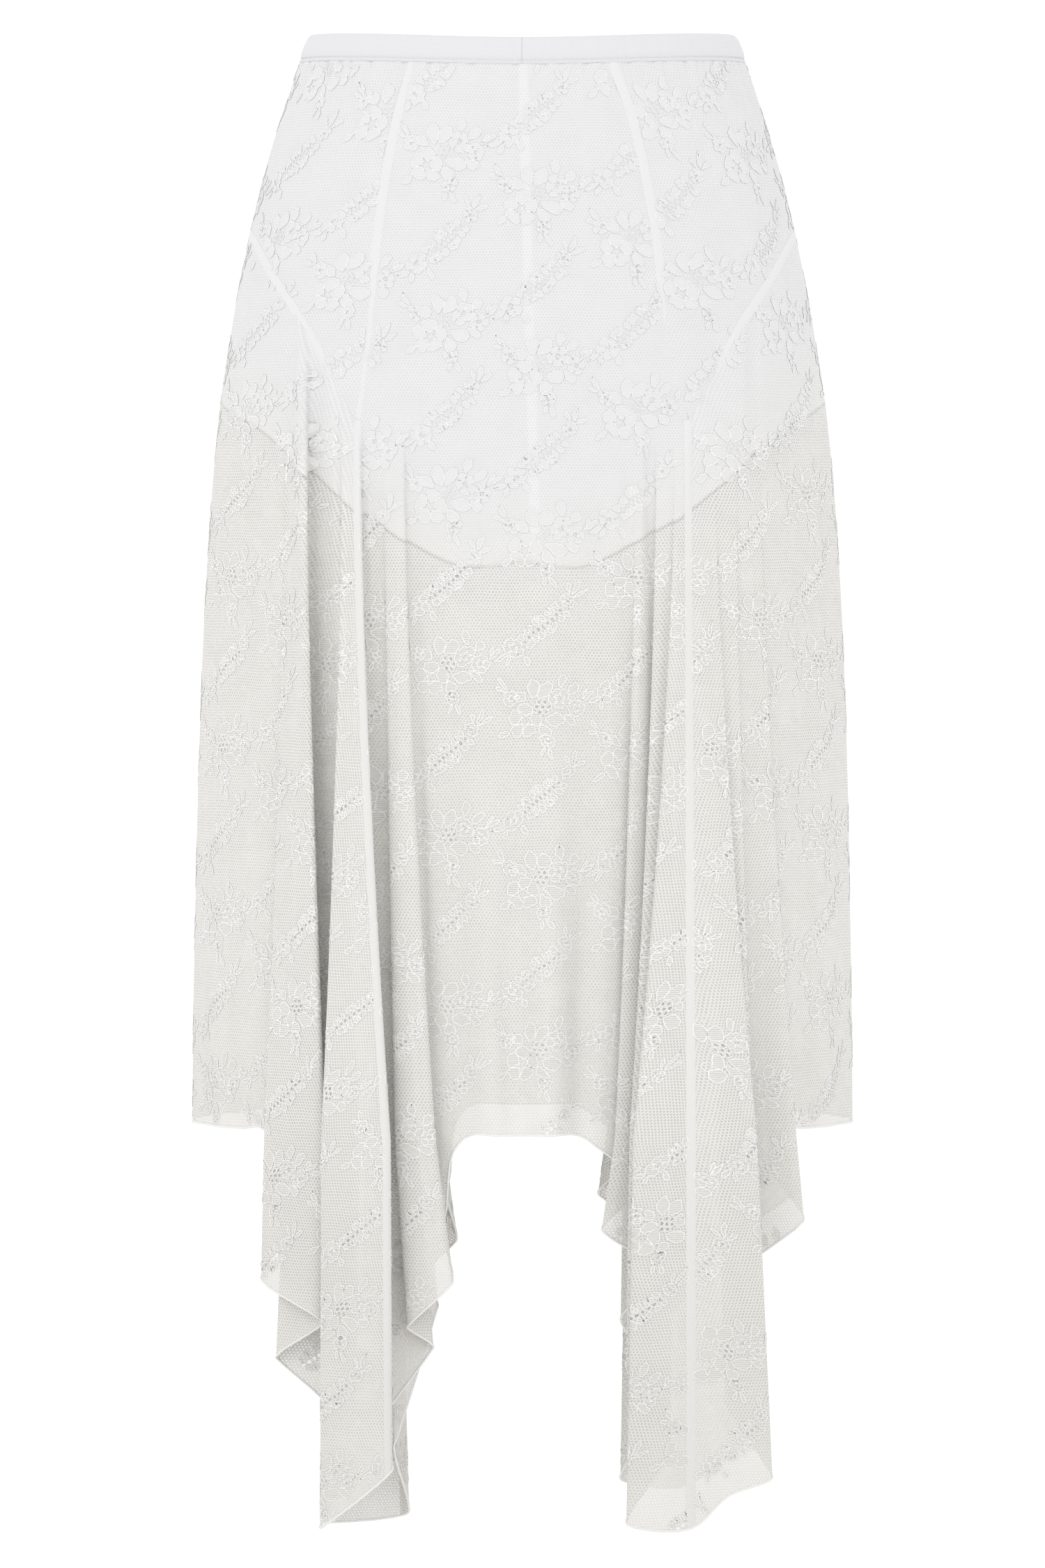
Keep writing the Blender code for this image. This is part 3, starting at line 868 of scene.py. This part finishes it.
def lay_motifs(name, points, normals, flat, materials):
    """Lays the sprays on a panel: each outline goes on the flat cloth and is carried to the hung cloth."""
    rows, count = points.shape[:2]
    corners = [Vector((u, v, 0.0)) for u, v in flat.reshape(-1, 2)]
    hung = [Vector(p) for p in points.reshape(-1, 3)]
    ways = [Vector(n) for n in normals.reshape(-1, 3)]
    triangles = []
    for r in range(rows - 1):
        for c in range(count - 1):
            a = r * count + c
            triangles += [(a, a + count, a + count + 1), (a, a + count + 1, a + 1)]
    tree = BVHTree.FromPolygons(corners, triangles)
    down = Vector((0.0, 0.0, -1.0))
    found, faces, uvs, slots = [], [], [], []

    def carry(u, v, lift):
        hit, _, index, _ = tree.ray_cast(Vector((u, v, 5.0)), down)
        if hit is None:
            return None
        i, j, k = triangles[index]
        place = barycentric_transform(hit, corners[i], corners[j], corners[k], hung[i], hung[j], hung[k])
        way = barycentric_transform(hit, corners[i], corners[j], corners[k], ways[i], ways[j], ways[k])
        return place + way * lift

    def add(uv, places):
        start = len(found)
        found.extend(places)
        uvs.extend(uv)
        return start

    def lay(outline, filled, width, u, v):
        line = unevenly(np.stack([outline[:, 0] + u, v - outline[:, 1]], axis=1))
        steps = len(line)
        along = np.roll(line, -1, axis=0) - np.roll(line, 1, axis=0)
        side = np.stack([-along[:, 1], along[:, 0]], axis=1)
        side /= np.maximum(np.linalg.norm(side, axis=1), 1e-9)[:, None]
        edges = np.concatenate([line - side * width / 2, line + side * width / 2])
        ribbon = [carry(a, b, THREAD_LIFT) for a, b in edges]
        if any(place is None for place in ribbon):
            return
        start = add(edges.tolist(), ribbon)
        for k in range(steps):
            n = (k + 1) % steps
            faces.append((start + k, start + n, start + steps + n, start + steps + k))
            slots.append(0)
        if not filled:
            return
        middle = line.mean(axis=0)
        places = [carry(a, b, FILL_LIFT) for a, b in line] + [carry(*middle, FILL_LIFT)]
        if any(place is None for place in places):
            return
        start = add(line.tolist() + [middle.tolist()], places)
        for k in range(steps):
            faces.append((start + k, start + (k + 1) % steps, start + steps))
            slots.append(1)

    kinds = (cluster(), sprig())
    low, high = flat.reshape(-1, 2).min(axis=0), flat.reshape(-1, 2).max(axis=0)
    for column in range(math.floor(low[0] / MOTIF_COLUMN) - 1, math.ceil(high[0] / MOTIF_COLUMN) + 2):
        for row in range(math.floor(low[1] / MOTIF_ROW) - 1, math.ceil(high[1] / MOTIF_ROW) + 2):
            u = column * MOTIF_COLUMN
            v = (row + 0.5 * (column % 2)) * MOTIF_ROW
            for part in kinds[(row + column // 2) % 2]:
                lay(*part, u, v)
    return piece(name, [tuple(p) for p in found], faces, uvs, materials, slots)


class Graph:
    """Short ways to add nodes to a material."""

    def __init__(self, name, roughness=0.85):
        self.material = bpy.data.materials.new(name)
        self.material.use_nodes = True
        self.tree = self.material.node_tree
        self.shader = self.tree.nodes["Principled BSDF"]
        self.shader.inputs["Roughness"].default_value = roughness
        self.shader.inputs["Specular IOR Level"].default_value = SPECULAR
        self.shader.inputs["Sheen Weight"].default_value = SHEEN

    def put(self, socket, value):
        if isinstance(value, bpy.types.NodeSocket):
            self.tree.links.new(value, socket)
        else:
            socket.default_value = value

    def math(self, operation, a, b=0.0, clamp=False):
        node = self.tree.nodes.new("ShaderNodeMath")
        node.operation = operation
        node.use_clamp = clamp
        self.put(node.inputs[0], a)
        self.put(node.inputs[1], b)
        return node.outputs[0]

    def plus(self, a, b, clamp=False):
        return self.math("ADD", a, b, clamp)

    def minus(self, a, b, clamp=False):
        return self.math("SUBTRACT", a, b, clamp)

    def times(self, a, b, clamp=False):
        return self.math("MULTIPLY", a, b, clamp)

    def over(self, a, b, clamp=False):
        return self.math("DIVIDE", a, b, clamp)

    def vector(self, operation, a, b=(0.0, 0.0, 0.0), output=0):
        node = self.tree.nodes.new("ShaderNodeVectorMath")
        node.operation = operation
        self.put(node.inputs[0], a)
        self.put(node.inputs[1], b)
        return node.outputs[output]

    def flat(self):
        node = self.tree.nodes.new("ShaderNodeUVMap")
        node.uv_map = "flat"
        return node.outputs[0]

    def place(self):
        return self.tree.nodes.new("ShaderNodeTexCoord").outputs["Object"]

    def joined(self, x, y):
        node = self.tree.nodes.new("ShaderNodeCombineXYZ")
        self.put(node.inputs[0], x)
        self.put(node.inputs[1], y)
        return node.outputs[0]

    def noise(self, where, scale, detail=3.0):
        node = self.tree.nodes.new("ShaderNodeTexNoise")
        node.inputs["Scale"].default_value = scale
        node.inputs["Detail"].default_value = detail
        self.put(node.inputs["Vector"], where)
        return node.outputs["Fac"]

    def mix(self, share, first, second):
        node = self.tree.nodes.new("ShaderNodeMix")
        node.data_type = "RGBA"
        self.put(node.inputs[0], share)
        for socket, colour in ((node.inputs[6], first), (node.inputs[7], second)):
            self.put(socket, (*colour, 1.0) if isinstance(colour, tuple) else colour)
        return node.outputs[2]

    def tint(self, share, upper, lower, mark=0.0):
        """Colours between a dark and a light tint by a value from 0 to 1: one pair over the lining and one
        below it. The low corners are darkened with painted shade of their deep folds, and a mark is where the
        lining's seam shows as white."""
        colour = self.mix(self.far(*TONE_CHANGE), self.mix(share, *upper), self.mix(share, *lower))
        # Painted shade of the deep folds: the low corners are mixed a share of the way towards a darker tint
        colour = self.mix(self.times(self.far(*PAINTED_FOLD_SHADE_CHANGE), PAINTED_FOLD_SHADE_SHARE), colour, PAINTED_FOLD_SHADE)
        self.put(self.shader.inputs["Base Color"], self.mix(mark, colour, SEAM_WHITE) if mark else colour)

    def stored(self, field):
        """A distance kept on the mesh, in millimetres."""
        node = self.tree.nodes.new("ShaderNodeAttribute")
        node.attribute_name = field
        return node.outputs["Fac"]

    def far(self, start, end):
        """Rises from 0 over the lining to 1 below it, between two distances below the lining's lower edge."""
        past = self.minus(self.stored("below_lining"), start)
        return self.over(past, end - start, clamp=True)

    def near(self, distance, half):
        """1 where a distance is 0, falling to 0 at half a width from it."""
        away = self.math("ABSOLUTE", distance)
        return self.minus(1.0, self.over(away, half), clamp=True)

    def hazed(self, closed, over, below):
        """Fills a share of the openings, as fine hairs do: one share over the lining and one below it."""
        haze = self.plus(self.times(self.far(*HAZE_CHANGE), below - over), over)
        rest = self.times(closed, self.minus(1.0, haze))
        return self.plus(rest, haze)

    def bump(self, height, distance, strength=0.6):
        node = self.tree.nodes.new("ShaderNodeBump")
        node.inputs["Strength"].default_value = strength
        node.inputs["Distance"].default_value = distance * MM
        self.put(node.inputs["Height"], height)
        self.put(self.shader.inputs["Normal"], node.outputs[0])

    def parts_of(self, where):
        node = self.tree.nodes.new("ShaderNodeSeparateXYZ")
        self.put(node.inputs[0], where)
        return node.outputs


def net_openings(graph, where, pitch):
    """Distance from the nearest opening of a six-sided net, in pitches: 0 in its middle."""
    root = math.sqrt(3.0)
    scaled = graph.vector("MULTIPLY", where, (1.0 / pitch,) * 3)
    found = []
    for shift in ((0.0, 0.0, 0.0), (0.5, root / 2, 0.0)):
        cells = graph.vector("DIVIDE", graph.vector("ADD", scaled, shift), (1.0, root, 1.0))
        share = graph.vector("FRACTION", cells)
        centred = graph.vector("MULTIPLY", graph.vector("SUBTRACT", share, (0.5, 0.5, 0.0)), (1.0, root, 0.0))
        found.append(graph.vector("LENGTH", centred, output=1))
    return graph.math("MINIMUM", *found)


def closed_beyond(graph, away, radius, softness=10.0):
    """0 inside an opening of a radius and 1 outside it, with a soft edge."""
    over = graph.times(graph.minus(away, radius), softness)
    return graph.plus(over, 0.5, clamp=True)


def net_material(name, upper, lower, turned=False):
    """Lace ground: a soft net with small openings, and larger ones in the middle of each spray."""
    graph = Graph(name, 0.9)
    plus, minus, times = graph.plus, graph.minus, graph.times
    u, v = graph.parts_of(graph.vector("MULTIPLY", graph.flat(), (1.0 / MM,) * 3))[:2]
    where = graph.joined(v, u) if turned else graph.joined(u, v)
    stray = times(minus(graph.noise(graph.flat(), 35.0, 1.0), 0.5), NET_STRAY)
    away = net_openings(graph, graph.vector("ADD", where, graph.joined(stray, stray)), NET_PITCH)
    closed = graph.hazed(closed_beyond(graph, away, NET_OPENING), *NET_HAZE)

    # The place within the repeat, and which of the two sprays it holds, as in lay_motifs
    column = graph.math("ROUND", graph.over(u, MOTIF_COLUMN))
    odd = graph.math("FLOORED_MODULO", column, 2.0)
    level = minus(graph.over(v, MOTIF_ROW), times(odd, 0.5))
    row = graph.math("ROUND", level)
    x = minus(u, times(column, MOTIF_COLUMN))
    y = times(minus(row, level), MOTIF_ROW)
    half = graph.math("FLOOR", times(column, 0.5))
    is_sprig = graph.math("FLOORED_MODULO", plus(row, half), 2.0)

    cosine, sine = math.cos(math.radians(CHAIN_WAY)), math.sin(math.radians(CHAIN_WAY))
    along = plus(times(x, cosine), times(y, sine))
    beside = minus(times(y, cosine), times(x, sine))
    nearest = graph.math("ROUND", graph.over(along, CHAIN_STEP))
    step = minus(along, times(nearest, CHAIN_STEP))
    in_chain = graph.math("LESS_THAN", graph.math("ABSOLUTE", along), CHAIN_STEP * (CHAIN_HALF + 0.5))
    in_line = graph.math("LESS_THAN", graph.math("ABSOLUTE", beside), CHAIN_STEP * 0.5)
    chain = times(is_sprig, times(in_chain, in_line))
    from_eyelet = graph.vector("LENGTH", graph.joined(step, beside), output=1)
    chain_hole = closed_beyond(graph, from_eyelet, EYELET, 3.0)

    patch = graph.vector("SUBTRACT", graph.joined(x, y), (*PATCH_PLACE, 0.0))
    in_patch = graph.math("LESS_THAN", graph.vector("LENGTH", patch, output=1), PATCH_RADIUS)
    patch_hole = closed_beyond(graph, net_openings(graph, patch, CHAIN_STEP), EYELET / CHAIN_STEP, 12.0)
    in_patch = times(in_patch, minus(1.0, is_sprig))
    for inside, hole in ((chain, chain_hole), (in_patch, patch_hole)):
        kept = times(closed, minus(1.0, inside))
        closed = plus(kept, times(inside, graph.hazed(hole, *EYELET_HAZE)))

    step_down = graph.near(minus(graph.stored("below_lining"), EDGE_LINE), EDGE_LINE)
    graph.put(graph.shader.inputs["Alpha"], times(closed, minus(1.0, times(step_down, EDGE_GAP))))
    covers = minus(1.0, graph.far(*HAZE_CHANGE))
    on_seam = times(graph.near(graph.stored("from_seam"), SEAM_SHOWS), 2.0, clamp=True)
    graph.tint(graph.noise(graph.place(), 60.0), upper, lower, times(on_seam, covers))
    graph.bump(away, 0.5)
    return graph.material


def fill_material(name, upper, lower):
    """Petals and leaves: threads laid side by side across the cloth, with the net between them."""
    graph = Graph(name)
    v = graph.parts_of(graph.flat())[1]
    wobble = graph.times(graph.noise(graph.flat(), 400.0), 0.9)
    phase = graph.plus(graph.times(v, 1.0 / (FILL_PITCH * MM)), wobble)
    saw = graph.math("ABSOLUTE", graph.minus(graph.math("FRACT", phase), 0.5))
    threads = closed_beyond(graph, saw, FILL_OPEN, 7.0)
    graph.put(graph.shader.inputs["Alpha"], graph.hazed(threads, *FILL_HAZE))
    graph.tint(saw, upper, lower)
    graph.bump(saw, 0.3)
    return graph.material


def thread_material(name, upper, lower):
    """Outlines: a smooth raised thread with a fine twist."""
    graph = Graph(name, 0.6)
    twist = graph.noise(graph.flat(), 2600.0, 1.0)
    graph.tint(twist, upper, lower)
    graph.bump(twist, 0.25)
    return graph.material


def seam_material(name, upper, lower):
    """Folded lace at a seam: closed, with a net that shows only as a tint and a low relief."""
    graph = Graph(name)
    away = net_openings(graph, graph.flat(), NET_PITCH * 0.55 * MM)
    graph.tint(graph.times(away, 1.8, clamp=True), upper, lower)
    graph.bump(away, 0.35)
    return graph.material


def jersey_material(name, tints):
    """Smooth fine knit: faint ribs 0.9 mm apart with a soft mottle."""
    graph = Graph(name, 0.9)
    u = graph.parts_of(graph.flat())[0]
    ribs = graph.math("SINE", graph.times(u, 2.0 * math.pi / (0.9 * MM)))
    graph.tint(graph.noise(graph.place(), 45.0), tints, tints)
    graph.bump(ribs, 0.06, 0.5)
    return graph.material


def floor_material():
    graph = Graph("pale_floor", 0.8)
    pale = ((0.95, 0.95, 0.95), (0.97, 0.97, 0.97))
    graph.tint(graph.noise(graph.place(), 3.0), pale, pale)
    return graph.material


# Tints of each cloth, dark and light: over the lining, then below it
NET_TINTS = ((0.71, 0.71, 0.712), (0.755, 0.755, 0.757)), ((0.705, 0.695, 0.665), (0.765, 0.757, 0.725))
FILL_TINTS = ((0.735, 0.735, 0.738), (0.765, 0.765, 0.768)), ((0.73, 0.72, 0.69), (0.79, 0.78, 0.75))
CORD_TINTS = ((0.785, 0.785, 0.79), (0.82, 0.82, 0.825)), ((0.83, 0.828, 0.815), (0.90, 0.898, 0.88))
SEAM_TINTS = ((0.715, 0.715, 0.72), (0.755, 0.755, 0.76)), ((0.70, 0.695, 0.675), (0.75, 0.745, 0.725))
# Tints, dark and light, of what lies at one height
WHITE = ((0.88, 0.88, 0.89), (0.91, 0.91, 0.92))
BRIGHT = ((0.94, 0.94, 0.95), (0.97, 0.97, 0.98))
BAND_TINTS = ((0.66, 0.66, 0.675), (0.73, 0.73, 0.745))

LACE = net_material("lace_net", *NET_TINTS)
LACE_BACK = net_material("lace_net_back", *NET_TINTS, turned=True)
FILL = fill_material("lace_fill", *FILL_TINTS)
CORD = thread_material("lace_outline", *CORD_TINTS)
SEAM = seam_material("seam_lace", *SEAM_TINTS)
JERSEY = jersey_material("lining_jersey", WHITE)
FOLDED_JERSEY = jersey_material("lining_fold", BRIGHT)
BAND_CLOTH = seam_material("waistband_lace", BAND_TINTS, BAND_TINTS)


def fine_skirt():
    """Closed rows of the lower skirt and the column of each long seam."""
    columns = skirt_columns()
    rows = []
    for r in range(LOWER_ROWS + 1):
        share = (r / LOWER_ROWS) ** ROW_POWER
        rows.append([column.at(share) for column in columns])
    points = placed(smooth_round(np.array(rows, dtype=float), STEPS_ACROSS))
    seams = [i * STEPS_ACROSS for i, column in enumerate(columns) if column.is_seam]
    return points, seams


def yoke_shares(top_row, side):
    """Each column of a yoke's grid as its share of the way from the front seam to the back seam."""
    result = []
    for x, y, low in top_row:
        angle = math.atan2(abs(x) / half_width(low), -y / half_depth(low))
        start = math.radians(seam_angle(low, side))
        result.append((angle - start) / (math.pi - 2 * start))
    return result


def yoke_grid(top_row, side):
    """The hip yoke from the waistband to the upper edge of the side panel, which is top_row as drops."""
    shares = yoke_shares(top_row, side)
    grid = []
    for r in range(UPPER_ROWS + 1):
        row = []
        for share, (_, _, low) in zip(shares, top_row):
            drop = BAND_DEPTH + (low - BAND_DEPTH) * r / UPPER_ROWS
            start = math.radians(seam_angle(drop, side))
            row.append(((start + share * (math.pi - 2 * start)) * side, drop))
        grid.append(row)
    grid = np.array(grid)
    return placed(body_point(grid[..., 0], grid[..., 1]))


def centre_grid(top_row, sign):
    """The upper part of a centre panel, over the columns of top_row, down to the seam points."""
    rows = []
    for r in range(UPPER_ROWS):
        drop = BAND_DEPTH + (POINT_DROP - BAND_DEPTH) * r / UPPER_ROWS
        row = []
        for x, _, _ in top_row:
            column = 1 if x < 0 else 2
            reach = curve(LONG_SEAMS, POINT_DROP, column)
            place = x / reach * curve(LONG_SEAMS, drop, column)
            row.append((place, -depth_at(place, drop) * sign, drop))
        rows.append(row)
    return placed(np.array(rows, dtype=float))


def lace_panel(name, points, normals):
    """A panel of lace with its sprays."""
    flat = flat_map(points)
    points = creased(points, normals)
    sheet = shell(name + "_lace", points, flat, LACE_BACK if name == "back_centre" else LACE, node=name)
    sprays = lay_motifs(name + "_sprays", points, facing(points), flat, [CORD, FILL])

def make_lace():
    """The panels of lace, the long seams below the seam points and the hem."""
    rows, seams = fine_skirt()
    normals = facing(rows, closed=True)
    count = rows.shape[1]
    front_right, back_right, back_left, front_left = seams
    spans = {
        "front_centre": [i % count for i in range(front_left, front_right + count + 1)],
        "side_panel_right": list(range(front_right, back_right + 1)),
        "back_centre": list(range(back_right, back_left + 1)),
        "side_panel_left": list(range(back_left, front_left + 1)),
    }
    for name, sign in (("front_centre", 1), ("back_centre", -1)):
        top = [(x, y, -z) for x, y, z in rows[0, spans[name]]]
        high = centre_grid(top, sign)
        whole = np.concatenate([high, rows[:, spans[name]]])
        ways = np.concatenate([facing(high), normals[:, spans[name]]])
        lace_panel(name, whole, ways)
    for name, side in (("right", 1), ("left", -1)):
        span = spans["side_panel_" + name]
        top = [(x, y, -z) for x, y, z in rows[0, span]]
        yoke = yoke_grid(top, side)
        lace_panel("side_yoke_" + name, yoke, facing(yoke))
        lace_panel("side_panel_" + name, rows[:, span], normals[:, span])
    hung = creased(rows, normals)
    for name, index in zip(("front_right", "back_right", "back_left", "front_left"), seams):
        places, ways = cross_places(hung, normals, index, SEAM_HALF)
        band_along("seam_" + name, places, ways, SEAM_HALF, SEAM_LIFT, SEAM)
    make_hem(hung[-1], normals[-1])


def make_hem(edge, ways):
    """A narrow rolled hem round the whole lower edge."""
    along = np.roll(edge, -1, axis=0) - np.roll(edge, 1, axis=0)
    along /= np.maximum(np.linalg.norm(along, axis=1), 1e-9)[:, None]
    down = np.cross(ways, along)
    rings = []
    for k in range(HEM_SIDES):
        a = 2 * math.pi * k / HEM_SIDES
        rings.append(edge + (ways * math.cos(a) + down * math.sin(a)) * HEM_RADIUS)
    points = np.stack(rings + rings[:1], axis=0)
    length = np.concatenate([[0.0], np.cumsum(np.linalg.norm(np.diff(edge, axis=0), axis=1))])
    round_it = np.arange(HEM_SIDES + 1)[:, None] * 0.6
    flat = np.stack(np.broadcast_arrays(length[None], round_it), axis=-1)
    shell("rolled_hem", points, flat, CORD, closed=True)


def make_upper_seams():
    """The long seams above the seam points and the edges of the yokes."""
    for side, name in ((-1, "left"), (1, "right")):
        for turned in (False, True):
            path = []
            for drop in np.linspace(BAND_DEPTH - 1, POINT_DROP, LONG_SEAM_STEPS):
                angle = math.radians(seam_angle(drop, side)) * side
                path.append((angle if not turned else math.pi * side - angle, drop))
            where = "back" if turned else "front"
            body_band(f"seam_{where}_{name}_upper", path, SEAM_HALF, SEAM_LIFT, SEAM)
        start = math.radians(seam_angle(POINT_DROP, 1))
        angles = np.linspace(start, math.pi - start, YOKE_SEAM_STEPS)
        path = [(a * side, yoke_drop(math.degrees(a))) for a in angles]
        body_band("seam_yoke_" + name, path, SEAM_HALF, SEAM_LIFT, SEAM)


def make_waistband():
    """Lace gathered over elastic, stitched near its lower edge."""
    angles = np.arange(BAND_COLUMNS) * 2 * math.pi / BAND_COLUMNS
    rings = []
    for out, share in BAND_PROFILE:
        outer = max(0.0, out) / BAND_OUTMOST
        move = out * BAND_WALL + BAND_GATHER * gathers(angles) * outer
        rings.append(placed(body_point(angles, BAND_DEPTH * share, move)))
    points = np.stack(rings[::-1], axis=0)
    round_it = np.arange(len(rings))[:, None] * 2.2
    flat = np.stack(np.broadcast_arrays(angles[None] * 125.0, round_it), axis=-1)
    shell("waistband_cloth", points, flat, BAND_CLOTH, closed=True, node="waistband")
    places, faces = [], []
    up = np.array([0.0, 0.0, STITCH_HALF])
    for k in range(STITCHES):
        a = 2 * math.pi * k / STITCHES
        ends = np.array([a, a + STITCH_ARC])
        foot = placed(body_point(ends, BAND_DEPTH * STITCH_SHARE, STITCH_SEAT * BAND_WALL))
        top = placed(body_point(ends, BAND_DEPTH * STITCH_SHARE, STITCH_SEAT * BAND_WALL + STITCH_RISE))
        n = len(places)
        for low, high in zip(foot, top):
            places.extend([low - up, high, low + up])
        faces += [(n, n + 3, n + 4, n + 1), (n + 1, n + 4, n + 5, n + 2)]
    piece("waistband_stitches", places, faces, [(p[0], p[2]) for p in places], [CORD])


def lining_grid(side, inset):
    """One half of the knickers, at a distance inside the lace."""
    angles = [row[0] for row in LINING_EDGE]
    steps = np.arange((len(angles) - 1) * LINING_STEPS + 1) / LINING_STEPS
    fine = np.interp(steps, np.arange(len(angles)), angles)
    rows = []
    for r in range(LINING_ROWS + 1):
        row = []
        for angle in fine:
            low, turning = curve(LINING_EDGE, angle, 1), max(0.0, curve(LINING_EDGE, angle, 2))
            drop = BAND_DEPTH + (low - BAND_DEPTH) * r / LINING_ROWS
            a = math.radians(angle)
            under = max(0.0, min(1.0, (drop - CROTCH_START) / (CROTCH_DROP - CROTCH_START)))
            pull = turning * (1 - math.sqrt(1 - under * under))
            x = (half_width(drop) - inset) * math.sin(a)
            y = -(half_depth(drop) - inset) * math.cos(a) * (1 - pull)
            if abs(y) < CROTCH_HALF_GAP:
                y = -CROTCH_HALF_GAP if angle < 90 else CROTCH_HALF_GAP
            row.append((x * side, y, drop))
        rows.append(row[::side])
    return placed(np.array(rows, dtype=float))


def make_lining():
    """Both halves of the knickers with their folded lower edges, and the bands of the centre seam."""
    inset = (LACE_WALL + LINING_WALL) / 2 + LAYER_GAP
    for side, name in ((-1, "left"), (1, "right")):
        points = lining_grid(side, inset)
        flat = flat_map(points)
        sheet = shell(f"lining_{name}_jersey", points, flat, JERSEY, node="lining_" + name)
        normals = facing(points)
        rows = []
        edge = points[-1]
        up = points[-2] - points[-1]
        up /= np.linalg.norm(up, axis=1)[:, None]
        for rise, lift in EDGE_PROFILE:
            rows.append(edge + up * rise + normals[-1] * lift)
        band = np.stack(rows, axis=0)
        hem = shell(f"lining_{name}_edge", band, flat_map(band), FOLDED_JERSEY)
    for turned, name in ((0.0, "front"), (math.pi, "back")):
        drops = np.linspace(BAND_DEPTH - 2, CENTRE_END, CENTRE_SEAM_STEPS)
        path = [(turned + CENTRE_TURN * drop / CENTRE_TURN_DROP, drop) for drop in drops]
        body_band(f"lining_seam_{name}", path, CENTRE_HALF, CENTRE_LIFT, FOLDED_JERSEY,
                  inset=inset - CENTRE_INSET)


def stand(name, data, place, aim):
    """Places a light or a camera and turns it towards a point."""
    made = bpy.data.objects.new(name, data)
    made.location = place
    made.rotation_mode = "QUATERNION"
    made.rotation_quaternion = (Vector(aim) - Vector(place)).to_track_quat("-Z", "Y")
    bpy.context.scene.collection.objects.link(made)
    return made


def make_studio():
    """A pale floor, a white world and two soft lights."""
    mesh = bpy.data.meshes.new("floor")
    corners = [(x * FLOOR_HALF, y * FLOOR_HALF, -FLOOR_DROP) for x, y in ((-1, -1), (1, -1), (1, 1), (-1, 1))]
    mesh.from_pydata(corners, [], [(0, 1, 2, 3)])
    mesh.materials.append(floor_material())
    floor = bpy.data.objects.new("floor", mesh)
    bpy.context.scene.collection.objects.link(floor)
    world = bpy.data.worlds.new("studio")
    world.use_nodes = True
    background = world.node_tree.nodes["Background"]
    background.inputs["Color"].default_value = (1.0, 1.0, 1.0, 1.0)
    background.inputs["Strength"].default_value = WORLD_STRENGTH
    bpy.context.scene.world = world
    bpy.context.scene.view_settings.view_transform = "Standard"
    for name, place, aim, size, watts in LIGHTS:
        data = bpy.data.lights.new(name, "AREA")
        data.shape = "DISK"
        data.size = size
        data.energy = watts
        stand(name, data, place, aim)


def make_camera():
    """The camera that took the photograph."""
    data = bpy.data.cameras.new("photo_camera")
    data.lens = CAMERA_LENS
    data.sensor_width = CAMERA_SENSOR
    bpy.context.scene.camera = stand("photo_camera", data, CAMERA_PLACE, CAMERA_AIM)


make_lace()
make_upper_seams()
make_waistband()
make_lining()
make_studio()
make_camera()
